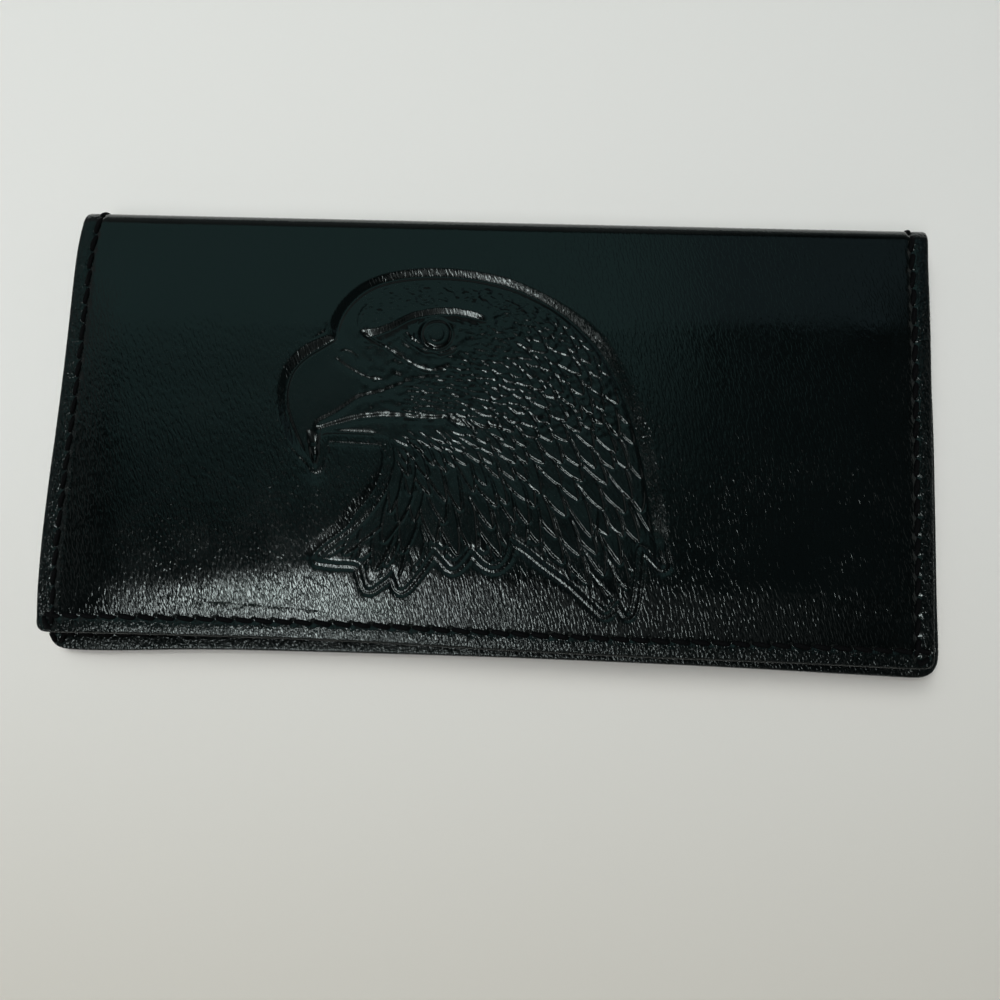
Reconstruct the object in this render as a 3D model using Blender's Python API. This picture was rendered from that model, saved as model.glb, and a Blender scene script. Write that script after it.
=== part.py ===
"""Long bifold leather wallet in the size of a cheque book, closed, lying on its back half.

Frame: metres, +Z up.  The origin is the middle of the footprint on the resting plane.
+X runs along the wallet's length, +Y towards the fold, and the front flap is on top.
The outer leather is one strap that bends at two creases.  It is cut at them here, so
that the back half, the spine and the front half can turn against each other: crease 1
is the hinge from back half to spine, crease 2 from spine to front half.
Lengths in the constants are millimetres.
"""
import math

import bmesh
import bpy

MM = 0.001

# ---------------------------------------------------------------- footprint
Y_FOLD = 43.9            # outer face of the fold
X_L, X_R = -84.5, 83.6   # both ends of the fold
BACK_L = (-85.9, -43.9)  # free corners of the back half: it is cut a little larger
BACK_R = (85.9, -42.9)
BACK_RADIUS = 5.0
FLAP_L = (-85.5, -40.4)  # free corners of the front flap, which sits a little askew
FLAP_R = (81.9, -40.9)
FLAP_RADIUS = 2.0

# ---------------------------------------------------------------- leather
COVER_T = 1.6            # outer leather
LINING_T = 0.4
POCKET_T = 0.9           # long pocket of the back half
PANEL_T = 0.7            # panel behind the card slots
SLOT_T = 0.45            # one card slot
SLIP_T = 0.6             # slip pocket
GAP = 0.3                # clearance between neighbouring layers
SLOT_GAP = 0.25          # clearance between card slots
MID_GAP = 0.4            # clearance between the two closed halves

# ---------------------------------------------------------------- stack, closed
Z_BACK_LINING = COVER_T + GAP
Z_BACK_POCKET = Z_BACK_LINING + LINING_T + GAP
Z_SLOT_LOWER = Z_BACK_POCKET + POCKET_T + MID_GAP
Z_SLOT_MIDDLE = Z_SLOT_LOWER + SLOT_T + SLOT_GAP
Z_SLOT_UPPER = Z_SLOT_MIDDLE + SLOT_T + SLOT_GAP
Z_PANEL = Z_SLOT_UPPER + SLOT_T + GAP
Z_SLIP = Z_PANEL - GAP - SLIP_T
Z_FRONT_LINING = Z_PANEL + PANEL_T + GAP
Z_FRONT_COVER = Z_FRONT_LINING + LINING_T + GAP
HEIGHT = Z_FRONT_COVER + COVER_T

# ---------------------------------------------------------------- creases
BEND_RADIUS = 2.5                            # to the middle of the leather
HALF_T = COVER_T / 2
Y_BEND = Y_FOLD - HALF_T - BEND_RADIUS       # where the covers start to bend
SPINE_FLAT = HEIGHT - 2 * (HALF_T + BEND_RADIUS)
LIP_ANGLE = math.radians(33.0)               # bent lip on each side of a crease
LIP = BEND_RADIUS * LIP_ANGLE
LIP_STEPS = 4
# A quarter turn about this axis lays the bend out flat at its true length.
PIVOT_Y = Y_BEND + (math.pi / 4) * BEND_RADIUS
PIVOT_RISE = HALF_T + (1 - math.pi / 4) * BEND_RADIUS
PIVOT_1 = (PIVOT_Y, PIVOT_RISE)
PIVOT_2 = (PIVOT_Y, HEIGHT - PIVOT_RISE)
FLAP_LIFT = math.radians(0.95)               # the springy fold holds the flap this much open

# ---------------------------------------------------------------- seams
SEAM_INSET = 3.2
GROOVE_W = 1.1
GROOVE_D = 0.9
THREAD_R = 0.25
THREAD_DEPTH = 0.35

# ---------------------------------------------------------------- pockets
POCKET_MOUTH = 33.0
NOTCH_HALF, NOTCH_DEPTH = 13.0, 8.0
PANEL_MOUTH = 35.0
COLUMN_X = 9.2           # right edge of the card column
DIVIDER_X = 10.2         # seam between the card column and the slip pocket
SLIP_X = 11.2
SLOT_MOUTHS = {"card_slot_upper": 26.0, "card_slot_middle": 16.0, "card_slot_lower": 6.0}
SLOT_FEET = {"card_slot_upper": -20.0, "card_slot_middle": -30.0}
SLIP_MOUTH_L, SLIP_MOUTH_R = 14.0, 24.0


# ================================================================ scene
for old in list(bpy.data.objects):
    bpy.data.objects.remove(old)

parts = bpy.data.collections.new("leather_wallet")
bpy.context.scene.collection.children.link(parts)
cutters = bpy.data.collections.new("cutters")
bpy.context.scene.collection.children.link(cutters)


def material(name, color, roughness):
    mat = bpy.data.materials.new(name)
    mat.use_nodes = True
    shader = mat.node_tree.nodes["Principled BSDF"]
    shader.inputs["Base Color"].default_value = (*color, 1.0)
    shader.inputs["Roughness"].default_value = roughness
    shader.inputs["Metallic"].default_value = 0.0
    mat.diffuse_color = (*color, 1.0)
    return mat


def empty(name, y, z, turn=0.0):
    """Empty on a joint's axis; the pieces of the moving body hang under it."""
    holder = bpy.data.objects.new(name, None)
    parts.objects.link(holder)
    holder.location = (0.0, y * MM, z * MM)
    holder.rotation_euler = (turn, 0.0, 0.0)
    holder.empty_display_size = 0.01
    return holder


# ================================================================ outlines
def arc(cx, cy, r, a0, a1, steps):
    return [(cx + r * math.cos(a0 + (a1 - a0) * i / steps),
             cy + r * math.sin(a0 + (a1 - a0) * i / steps)) for i in range(steps + 1)]


def round_corner(before, corner, after, r, steps=6):
    """Points of a fillet of radius r at a corner of a polygon."""
    ax, ay = before[0] - corner[0], before[1] - corner[1]
    bx, by = after[0] - corner[0], after[1] - corner[1]
    la, lb = math.hypot(ax, ay), math.hypot(bx, by)
    ax, ay, bx, by = ax / la, ay / la, bx / lb, by / lb
    half = math.acos(max(-1.0, min(1.0, ax * bx + ay * by))) / 2
    cut = r / math.tan(half)
    mx, my = ax + bx, ay + by
    lm = math.hypot(mx, my)
    cx, cy = corner[0] + mx / lm * r / math.sin(half), corner[1] + my / lm * r / math.sin(half)
    sx, sy = corner[0] + ax * cut, corner[1] + ay * cut
    ex, ey = corner[0] + bx * cut, corner[1] + by * cut
    a0, a1 = math.atan2(sy - cy, sx - cx), math.atan2(ey - cy, ex - cx)
    while a1 - a0 > math.pi:
        a1 -= 2 * math.pi
    while a1 - a0 < -math.pi:
        a1 += 2 * math.pi
    return arc(cx, cy, r, a0, a1, steps)


def offset_corner(p, a, b, d):
    """Where the lines p-a and p-b meet once both are moved inwards by d."""
    def line(q):
        ux, uy = q[0] - p[0], q[1] - p[1]
        length = math.hypot(ux, uy)
        return ux / length, uy / length
    ux, uy = line(a)
    vx, vy = line(b)
    sine = abs(ux * vy - uy * vx)
    return p[0] + (ux + vx) * d / sine, p[1] + (uy + vy) * d / sine


def u_path(left, right, top, d, r, steps=6):
    """Path at distance d inside a half's three free edges, from the fold on the left,
    round both free corners, to the fold on the right."""
    top_l, top_r = (X_L, Y_BEND), (X_R, Y_BEND)
    low_l = offset_corner(left, top_l, right, d)
    low_r = offset_corner(right, top_r, left, d)
    slope_l = (left[0] - X_L) / (left[1] - Y_BEND)
    slope_r = (right[0] - X_R) / (right[1] - Y_BEND)
    start = (low_l[0] + slope_l * (top - low_l[1]), top)
    end = (low_r[0] + slope_r * (top - low_r[1]), top)
    return ([start] + round_corner(start, low_l, low_r, r, steps)
            + round_corner(low_l, low_r, end, r, steps) + [end])


def half_outline(left, right, r, top):
    """Outline of a panel that is flush with a half's three free edges."""
    return u_path(left, right, top, 0.0, r, 8)


# ================================================================ solids
def outline_object(name, points, thickness, z_low, mat=None, parent=None, origin=(0.0, 0.0)):
    """Flat panel: a filled 2D outline, extruded both ways by half its thickness."""
    curve = bpy.data.curves.new(name, "CURVE")
    curve.dimensions = "2D"
    curve.fill_mode = "BOTH"
    curve.extrude = thickness / 2 * MM
    curve.render_resolution_u = 0
    spline = curve.splines.new("POLY")
    spline.points.add(len(points) - 1)
    for point, (x, y) in zip(spline.points, points):
        point.co = (x * MM, (y - origin[0]) * MM, 0.0, 1.0)
    spline.use_cyclic_u = True
    panel = bpy.data.objects.new(name, curve)
    if parent is not None:
        panel.parent = parent
    panel.location = (0.0, 0.0, (z_low + thickness / 2 - origin[1]) * MM)
    if mat is not None:
        curve.materials.append(mat)
        parts.objects.link(panel)
    return panel


def frozen(source, name, collection):
    """The evaluated mesh of an object, as a mesh object of its own."""
    if not source.users_collection:
        cutters.objects.link(source)
    bpy.context.view_layer.update()
    evaluated = source.evaluated_get(bpy.context.evaluated_depsgraph_get())
    mesh = bpy.data.meshes.new_from_object(evaluated)
    mesh.name = name
    bm = bmesh.new()
    bm.from_mesh(mesh)
    bmesh.ops.remove_doubles(bm, verts=bm.verts, dist=1e-6)
    bm.to_mesh(mesh)
    bm.free()
    matrix = source.matrix_world.copy()
    bpy.data.objects.remove(source)
    result = bpy.data.objects.new(name, mesh)
    collection.objects.link(result)
    result.matrix_world = matrix
    return result


def band(left, right, top):
    """Closed outline of the groove that runs round a half's three free edges."""
    outer = u_path(left, right, top, SEAM_INSET - GROOVE_W / 2, 2.0 + GROOVE_W / 2)
    inner = u_path(left, right, top, SEAM_INSET + GROOVE_W / 2, 2.0 - GROOVE_W / 2)
    return outer + inner[::-1]


def grooved_sheet(name, outline, grooves):
    """Flat leather with its outer face at z = 0 and seam grooves cut into that face."""
    sheet = frozen(outline_object(name + "_sheet", outline, COVER_T, 0.0), name + "_sheet", cutters)
    for index, points in enumerate(grooves):
        cutter = frozen(outline_object("%s_groove_%d" % (name, index), points,
                                       2 * GROOVE_D, -GROOVE_D),
                        "%s_groove_%d" % (name, index), cutters)
        cutter.hide_render = True
        cutter.display_type = "WIRE"
        cut = sheet.modifiers.new("groove", "BOOLEAN")
        cut.operation = "DIFFERENCE"
        cut.object = cutter
    flat = frozen(sheet, name, cutters)
    for cutter in [o for o in cutters.objects if o.name.startswith(name + "_groove_")]:
        bpy.data.objects.remove(cutter)
    return flat


def bent_cover(name, flat, bend_lines, place, mat, parent=None, mirrored=False):
    """Divides the flat sheet at the bend lines and lays every vertex on the bent form."""
    bm = bmesh.new()
    bm.from_mesh(flat.data)
    bmesh.ops.transform(bm, matrix=flat.matrix_world, verts=bm.verts)
    for y in bend_lines:
        bmesh.ops.bisect_plane(bm, geom=bm.verts[:] + bm.edges[:] + bm.faces[:], dist=1e-8,
                               plane_co=(0.0, y * MM, 0.0), plane_no=(0.0, 1.0, 0.0))
    bmesh.ops.triangulate(bm, faces=bm.faces)
    for vert in bm.verts:
        y, z = place(vert.co.y / MM, vert.co.z / MM)
        vert.co.y, vert.co.z = y * MM, z * MM
    if mirrored:
        bmesh.ops.reverse_faces(bm, faces=bm.faces)
    mesh = bpy.data.meshes.new(name)
    bm.to_mesh(mesh)
    bm.free()
    bpy.data.objects.remove(flat)
    mesh.materials.append(mat)
    cover = bpy.data.objects.new(name, mesh)
    parts.objects.link(cover)
    if parent is not None:
        cover.parent = parent
    return cover


def on_back(y, z):
    """Back half: flat, then bent up by the lip's angle. z counts from the outer face."""
    if y <= Y_BEND:
        return y, z
    angle = (y - Y_BEND) / BEND_RADIUS
    radius = BEND_RADIUS + HALF_T - z
    return Y_BEND + radius * math.sin(angle), HALF_T + BEND_RADIUS - radius * math.cos(angle)


def on_front(y, z):
    """Front half: the back half's form mirrored in height, about crease 2."""
    y, z = on_back(y, z)
    return y - PIVOT_2[0], (HEIGHT - z) - PIVOT_2[1]


def on_spine(s, z):
    """Spine: s runs up the outer face from the lower end of its flat part."""
    if s < 0:
        angle = math.pi / 2 + s / BEND_RADIUS
        radius = BEND_RADIUS + HALF_T - z
        y = Y_BEND + radius * math.sin(angle)
        height = HALF_T + BEND_RADIUS - radius * math.cos(angle)
    elif s <= SPINE_FLAT:
        y, height = Y_FOLD - z, HALF_T + BEND_RADIUS + s
    else:
        y, height = on_spine(SPINE_FLAT - s, z)
        return y, (HEIGHT - (height + PIVOT_1[1])) - PIVOT_1[1]
    return y - PIVOT_1[0], height - PIVOT_1[1]


def thread(name, points, mat, parent=None):
    """Seam thread: a tube along a line of points in millimetres."""
    curve = bpy.data.curves.new(name, "CURVE")
    curve.dimensions = "3D"
    curve.bevel_depth = THREAD_R * MM
    curve.bevel_resolution = 2
    curve.use_fill_caps = True
    curve.render_resolution_u = 0
    spline = curve.splines.new("POLY")
    spline.points.add(len(points) - 1)
    for point, (x, y, z) in zip(spline.points, points):
        point.co = (x * MM, y * MM, z * MM, 1.0)
    curve.materials.append(mat)
    tube = bpy.data.objects.new(name, curve)
    parts.objects.link(tube)
    if parent is not None:
        tube.parent = parent
    return tube


# ================================================================ materials
leather_front = material("front_cover", (0.013, 0.015, 0.016), 0.36)
leather_back = material("back_cover", (0.013, 0.015, 0.016), 0.38)
leather_spine = material("spine_cover", (0.013, 0.015, 0.016), 0.34)
lining_a = material("back_lining", (0.016, 0.016, 0.018), 0.80)
lining_b = material("spine_lining", (0.016, 0.016, 0.018), 0.80)
lining_c = material("front_lining", (0.016, 0.016, 0.018), 0.80)
pocket_mat = material("back_pocket", (0.018, 0.018, 0.019), 0.45)
panel_mat = material("card_panel", (0.018, 0.018, 0.019), 0.45)
slip_mat = material("slip_pocket", (0.019, 0.019, 0.020), 0.45)
thread_front = material("front_seam_thread", (0.008, 0.008, 0.009), 0.60)
thread_back = material("back_seam_thread", (0.008, 0.008, 0.009), 0.60)

# ================================================================ creases
crease_1 = empty("crease_1", *PIVOT_1)
crease_2 = empty("crease_2", PIVOT_2[0], PIVOT_2[1], -FLAP_LIFT)

# ================================================================ back half
lip_lines = [Y_BEND + LIP * i / LIP_STEPS for i in range(LIP_STEPS)]
end_flat = Y_BEND + LIP
back_flat = grooved_sheet("back_cover", half_outline(BACK_L, BACK_R, BACK_RADIUS, end_flat),
                          [band(BACK_L, BACK_R, end_flat + 2.0)])
bent_cover("back_cover", back_flat, lip_lines, on_back, leather_back)

outline_object("back_lining", half_outline(BACK_L, BACK_R, BACK_RADIUS, Y_BEND),
               LINING_T, Z_BACK_LINING, lining_a)

# The pocket's mouth has a thumb notch in the middle.
notch_r = (NOTCH_HALF ** 2 + NOTCH_DEPTH ** 2) / (2 * NOTCH_DEPTH)
notch_a = math.asin(NOTCH_HALF / notch_r)
notch = arc(0.0, POCKET_MOUTH - NOTCH_DEPTH + notch_r, notch_r,
            -math.pi / 2 + notch_a, -math.pi / 2 - notch_a, 16)
outline_object("back_pocket", half_outline(BACK_L, BACK_R, BACK_RADIUS, POCKET_MOUTH) + notch,
               POCKET_T, Z_BACK_POCKET, pocket_mat)

back_seam = u_path(BACK_L, BACK_R, Y_BEND - 0.4, SEAM_INSET, 2.0)
thread("back_seam_thread", [(x, y, THREAD_DEPTH) for x, y in back_seam], thread_back)

# ================================================================ spine
spine_outline = [(X_L, -LIP), (X_R, -LIP), (X_R, SPINE_FLAT + LIP), (X_L, SPINE_FLAT + LIP)]
seam_l, seam_r = X_L + SEAM_INSET, X_R - SEAM_INSET
grooves = [[(x - GROOVE_W / 2, -LIP - 2), (x + GROOVE_W / 2, -LIP - 2),
            (x + GROOVE_W / 2, SPINE_FLAT + LIP + 2), (x - GROOVE_W / 2, SPINE_FLAT + LIP + 2)]
           for x in (seam_l, seam_r)]
spine_flat = grooved_sheet("spine_cover", spine_outline, grooves)
spine_lines = ([-LIP * i / LIP_STEPS for i in range(LIP_STEPS)]
               + [SPINE_FLAT + LIP * i / LIP_STEPS for i in range(LIP_STEPS)])
bent_cover("spine_cover", spine_flat, spine_lines, on_spine, leather_spine, crease_1)

lining = outline_object("spine_lining",
                        [(X_L + 0.2, -SPINE_FLAT / 2), (X_R - 0.2, -SPINE_FLAT / 2),
                         (X_R - 0.2, SPINE_FLAT / 2), (X_L + 0.2, SPINE_FLAT / 2)],
                        LINING_T, 0.0, lining_b, crease_1)
lining.rotation_euler = (math.pi / 2, 0.0, 0.0)
lining.location = (0.0, (Y_FOLD - COVER_T - GAP - LINING_T / 2 - PIVOT_1[0]) * MM,
                   (HEIGHT / 2 - PIVOT_1[1]) * MM)

for side, x in (("left", seam_l), ("right", seam_r)):
    y = Y_FOLD - THREAD_DEPTH - PIVOT_1[0]
    low = HALF_T + BEND_RADIUS - PIVOT_1[1]
    thread("spine_thread_" + side, [(x, y, low), (x, y, low + SPINE_FLAT)], thread_back, crease_1)

# ================================================================ front half
front_flat = grooved_sheet("front_cover", half_outline(FLAP_L, FLAP_R, FLAP_RADIUS, end_flat),
                           [band(FLAP_L, FLAP_R, end_flat + 2.0)])
bent_cover("front_cover", front_flat, lip_lines, on_front, leather_front, crease_2,
           mirrored=True)

outline_object("front_lining", half_outline(FLAP_L, FLAP_R, FLAP_RADIUS, Y_BEND),
               LINING_T, Z_FRONT_LINING, lining_c, crease_2, PIVOT_2)
outline_object("card_panel", half_outline(FLAP_L, FLAP_R, FLAP_RADIUS, PANEL_MOUTH),
               PANEL_T, Z_PANEL, panel_mat, crease_2, PIVOT_2)


def edge_x(y, left, top_x):
    """X of a half's side edge at height y."""
    return top_x + (left[0] - top_x) * (Y_BEND - y) / (Y_BEND - left[1])


# Card slots: three stepped mouths; the lowest one lies nearest to the inside.
for index, (name, z) in enumerate((("card_slot_upper", Z_SLOT_UPPER),
                                   ("card_slot_middle", Z_SLOT_MIDDLE),
                                   ("card_slot_lower", Z_SLOT_LOWER))):
    mouth = SLOT_MOUTHS[name]
    slot_mat = material(name, (0.018 + 0.001 * index,) * 2 + (0.019 + 0.001 * index,), 0.45)
    if name in SLOT_FEET:
        foot = SLOT_FEET[name]
        points = [(edge_x(mouth, FLAP_L, X_L), mouth), (edge_x(foot, FLAP_L, X_L), foot),
                  (COLUMN_X, foot), (COLUMN_X, mouth)]
    else:
        foot_r = FLAP_L[1] + (FLAP_R[1] - FLAP_L[1]) * (COLUMN_X - FLAP_L[0]) / (FLAP_R[0] - FLAP_L[0])
        points = ([(edge_x(mouth, FLAP_L, X_L), mouth)]
                  + round_corner((X_L, Y_BEND), FLAP_L, FLAP_R, FLAP_RADIUS, 8)
                  + [(COLUMN_X, foot_r), (COLUMN_X, mouth)])
    outline_object(name, points, SLOT_T, z, slot_mat, crease_2, PIVOT_2)

# Slip pocket beside the cards, with a slanted mouth.
foot_l = FLAP_L[1] + (FLAP_R[1] - FLAP_L[1]) * (SLIP_X - FLAP_L[0]) / (FLAP_R[0] - FLAP_L[0])
slip = ([(SLIP_X, SLIP_MOUTH_L), (SLIP_X, foot_l)]
        + round_corner(FLAP_L, FLAP_R, (X_R, Y_BEND), FLAP_RADIUS, 8)
        + [(edge_x(SLIP_MOUTH_R, FLAP_R, X_R), SLIP_MOUTH_R)])
outline_object("slip_pocket", slip, SLIP_T, Z_SLIP, slip_mat, crease_2, PIVOT_2)

z_divider = Z_PANEL - GAP - THREAD_R - PIVOT_2[1]
thread("divider_thread", [(DIVIDER_X, y - PIVOT_2[0], z_divider) for y in (33.0, -37.0)],
       thread_front, crease_2)

front_seam = u_path(FLAP_L, FLAP_R, Y_BEND - 0.4, SEAM_INSET, 2.0)
thread("front_seam_thread",
       [(x, y - PIVOT_2[0], HEIGHT - THREAD_DEPTH - PIVOT_2[1]) for x, y in front_seam],
       thread_front, crease_2)

for piece in parts.objects:
    if piece.type == "MESH":
        piece.data.shade_flat()
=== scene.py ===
"""Long bifold leather wallet, closed, seen from above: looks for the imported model.

Lengths in the constants and in the shape functions are millimetres; objects are in metres.
"""
import math

import bmesh
import bpy
import numpy as np
from mathutils import Matrix, Vector
from mathutils.geometry import delaunay_2d_cdt


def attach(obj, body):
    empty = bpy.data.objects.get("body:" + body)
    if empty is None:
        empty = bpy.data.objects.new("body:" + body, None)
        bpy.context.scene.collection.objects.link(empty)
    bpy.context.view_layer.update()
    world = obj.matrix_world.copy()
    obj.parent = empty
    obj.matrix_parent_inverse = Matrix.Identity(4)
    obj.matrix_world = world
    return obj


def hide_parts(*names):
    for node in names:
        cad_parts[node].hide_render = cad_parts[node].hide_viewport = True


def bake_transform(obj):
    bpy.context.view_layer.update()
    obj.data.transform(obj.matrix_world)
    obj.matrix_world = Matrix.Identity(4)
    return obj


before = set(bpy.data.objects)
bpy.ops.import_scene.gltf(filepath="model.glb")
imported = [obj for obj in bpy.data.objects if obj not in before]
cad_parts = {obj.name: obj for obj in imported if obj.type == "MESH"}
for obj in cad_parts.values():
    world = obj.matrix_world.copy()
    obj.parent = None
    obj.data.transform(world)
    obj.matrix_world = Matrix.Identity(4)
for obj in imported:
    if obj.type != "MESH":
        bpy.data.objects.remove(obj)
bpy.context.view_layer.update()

scene = bpy.context.scene
MM = 0.001

# ---------------------------------------------------------------- the model's own figures
Y_FOLD = 43.9
COVER_T = 1.6
HEIGHT = 9.35
BEND_RADIUS = 2.5
HALF_T = COVER_T / 2
ARC_C = HALF_T + BEND_RADIUS                 # height of the lower bend's centre
Y_BEND = Y_FOLD - ARC_C
T_ARC = Y_BEND + BEND_RADIUS * math.pi / 2   # where the bend ends, along the leather
T_MID = T_ARC + HEIGHT / 2 - ARC_C           # middle of the spine, along the leather
PIVOT_Y = Y_BEND + (math.pi / 4) * BEND_RADIUS
PIVOT_2 = (PIVOT_Y, HEIGHT - HALF_T - (1 - math.pi / 4) * BEND_RADIUS)
FLAP_LIFT = math.radians(0.95)
SEAM_INSET = 3.2
PITCH = 3.7

# ---- the figure pressed into the flap: an eagle's head in profile, in flap millimetres
BEAK_TOP = [(-33.6, -7.1), (-35.4, -5.0), (-37.2, -2.3), (-38.5, 0.4), (-39.5, 3.0), (-40.0, 5.5), (-40.0, 8.2), (-39.3, 10.8), (-38.0, 12.8), (-36.2, 14.5), (-33.8, 16.1), (-31.4, 17.7)]
CROWN = [(-31.0, 18.6), (-30.6, 20.9), (-29.6, 23.4), (-27.9, 25.8), (-25.7, 27.8), (-22.6, 29.4), (-18.7, 30.4), (-14.6, 30.9), (-10.3, 31.0), (-5.8, 30.7), (-1.5, 30.0), (2.5, 28.9), (6.4, 27.2), (10.4, 25.0), (14.1, 22.3), (17.4, 19.2), (20.3, 15.6), (22.7, 11.4), (24.8, 6.6), (26.6, 1.6), (28.0, -3.8), (29.0, -8.9), (29.7, -13.3), (30.4, -17.4), (31.3, -20.8), (32.2, -23.7)]
TIPS = [(32.2, -23.7), (30.4, -21.9), (28.9, -20.6), (27.7, -20.4), (27.2, -22.8), (27.0, -26.5), (26.6, -30.2), (25.9, -32.6), (24.8, -30.8), (23.9, -30.3), (23.0, -31.4), (21.8, -32.6), (20.4, -31.6), (18.7, -30.1), (16.8, -28.4), (14.6, -26.7), (12.5, -25.2), (10.6, -23.9), (8.8, -22.5), (7.0, -21.2), (5.0, -20.0), (3.7, -19.4), (3.5, -21.3), (2.6, -23.6), (1.2, -24.8), (-0.6, -24.3), (-2.2, -22.8), (-3.5, -21.8), (-4.5, -23.1), (-5.6, -24.5), (-6.8, -25.3), (-8.1, -24.2), (-9.5, -22.7), (-10.6, -21.9), (-11.6, -23.4), (-13.0, -25.7), (-14.6, -27.9), (-16.1, -29.4), (-17.0, -27.9), (-17.9, -26.1), (-19.0, -27.2), (-20.6, -28.5), (-22.2, -29.5), (-23.1, -27.7), (-23.8, -25.6), (-25.6, -24.9), (-28.3, -24.9), (-31.7, -24.6)]
THROAT = [(-31.7, -24.6), (-30.0, -22.8), (-27.7, -21.0), (-25.5, -19.2), (-23.4, -16.9), (-21.5, -14.4), (-19.9, -11.6), (-18.9, -8.5), (-18.4, -5.8), (-18.7, -3.2), (-19.7, -1.4), (-21.3, -0.7), (-23.9, -0.5), (-27.6, -0.4), (-30.8, -0.5), (-32.7, -0.9), (-33.3, -3.0), (-33.2, -5.2), (-33.6, -7.1)]
BROW = [(-26.6, 20.0), (-25.4, 19.5), (-23.7, 19.6), (-21.5, 20.4), (-19.4, 21.5), (-17.2, 22.8), (-14.8, 23.6), (-11.5, 24.2), (-8.4, 24.2), (-5.6, 23.8), (-3.1, 23.1), (-1.2, 22.6)]
BROW_FRONT = [(-26.6, 20.0), (-26.9, 21.8), (-26.3, 23.8), (-24.8, 25.8)]
REAR_BROW = [(-1.2, 22.6), (1.4, 23.5), (4.3, 24.8), (7.4, 26.6)]
EYE = (-11.7, 19.4)
LID = [(-18.9, 19.7), (-17.3, 18.1), (-15.6, 16.9), (-13.5, 16.0), (-11.0, 15.6), (-8.7, 16.1), (-6.8, 17.5)]
LID_IN = [(-17.9, 19.7), (-16.4, 18.1), (-14.5, 17.1), (-12.2, 16.7)]
LORE = [(-26.1, 19.3), (-24.0, 17.9), (-21.8, 16.6), (-19.1, 15.0), (-16.7, 13.5), (-14.4, 12.4), (-12.4, 12.0), (-10.1, 12.2), (-7.8, 12.1)]
CERE = [(-31.3, 14.2), (-29.5, 12.8), (-27.2, 11.4), (-25.4, 10.5), (-23.4, 10.0), (-20.7, 9.8)]
NOSTRIL = [(-30.3, 14.9), (-29.4, 15.5), (-28.2, 15.2), (-27.1, 14.4), (-26.4, 13.0)]
GAPE = [(-34.8, 0.3), (-33.6, 1.8), (-31.7, 2.9), (-29.8, 4.1), (-27.9, 5.5), (-26.0, 6.8), (-23.5, 7.5), (-21.1, 8.2), (-18.8, 9.2), (-16.2, 10.2), (-12.7, 10.9)]
LEDGE = [(-34.4, 0.0), (-31.9, 1.0), (-29.3, 1.8), (-26.2, 2.7), (-22.4, 3.3), (-18.5, 3.4), (-14.7, 3.2), (-11.2, 3.2), (-8.6, 3.4)]
CHIN = [(-33.8, -0.9), (-31.5, 0.0), (-27.6, 0.0), (-23.7, -0.1), (-20.9, -0.4)]
FRINGE = [(-8.6, 3.4), (-6.3, 2.6), (-3.8, 1.6), (-1.2, 0.8), (1.6, 0.6), (4.4, 1.0), (6.6, 2.2)]
# x, y, direction in degrees below +X, length, width of the feathers there
FLOW = [(-25.0, 28.0, -25, 1.6, 0.8), (-16.0, 29.6, -5, 1.8, 0.9), (-7.0, 29.0, 8, 1.9, 0.9), (2.0, 27.5, 18, 2.1, 1.0), (8.0, 25.0, 28, 2.9, 1.34), (14.0, 20.8, 40, 3.7, 1.68), (19.9, 13.5, 54, 4.8, 2.42), (23.9, 3.8, 64, 6.2, 2.78), (27.0, -7.7, 71, 8.3, 3.03), (29.5, -17.0, 70, 8.8, 3.03), (-4.0, 18.9, 6, 2.0, 1.0), (0.5, 18.9, 20, 2.9, 1.46), (8.4, 15.2, 34, 4.1, 2.3), (16.2, 7.5, 50, 5.4, 2.66), (20.3, -2.1, 58, 7.1, 2.91), (22.4, -11.6, 62, 8.5, 3.15), (24.4, -21.0, 68, 8.9, 3.15), (20.9, -27.6, 58, 8.3, 3.15), (-14.5, 7.6, 4, 1.9, 0.7), (-8.8, 8.2, 8, 2.0, 0.8), (0.9, 7.0, 20, 3.5, 1.57), (8.7, 3.4, 38, 4.8, 2.54), (12.8, -4.3, 55, 6.9, 2.78), (14.9, -13.8, 62, 8.7, 3.03), (16.0, -22.1, 60, 8.7, 3.27), (-16.1, 0.4, 22, 3.3, 1.01), (-8.4, -0.8, 30, 3.5, 1.12), (-1.5, -2.4, 46, 4.4, 1.69), (2.5, -8.5, 60, 7.3, 2.42), (6.5, -15.0, 70, 8.9, 3.03), (10.0, -19.5, 60, 8.3, 3.27), (-16.8, -3.6, 60, 4.6, 1.44), (-12.8, -7.0, 62, 6.7, 1.93), (-8.9, -8.8, 68, 8.3, 2.42), (-7.0, -15.4, 72, 9.4, 3.03), (-5.4, -21.9, 74, 7.8, 3.27), (-17.3, -9.1, 92, 7.3, 2.05), (-16.6, -15.7, 102, 9.4, 3.03), (-20.9, -22.0, 106, 8.8, 3.52), (-16.3, -25.1, 92, 8.3, 3.52), (-11.0, -19.0, 88, 9.4, 3.03), (-24.0, -19.8, 135, 6.2, 2.54), (-28.1, -22.9, 160, 5.2, 2.3), (-2.5, -14.2, 64, 9.4, 2.78), (0.5, -20.0, 68, 8.3, 3.27)]
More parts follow.
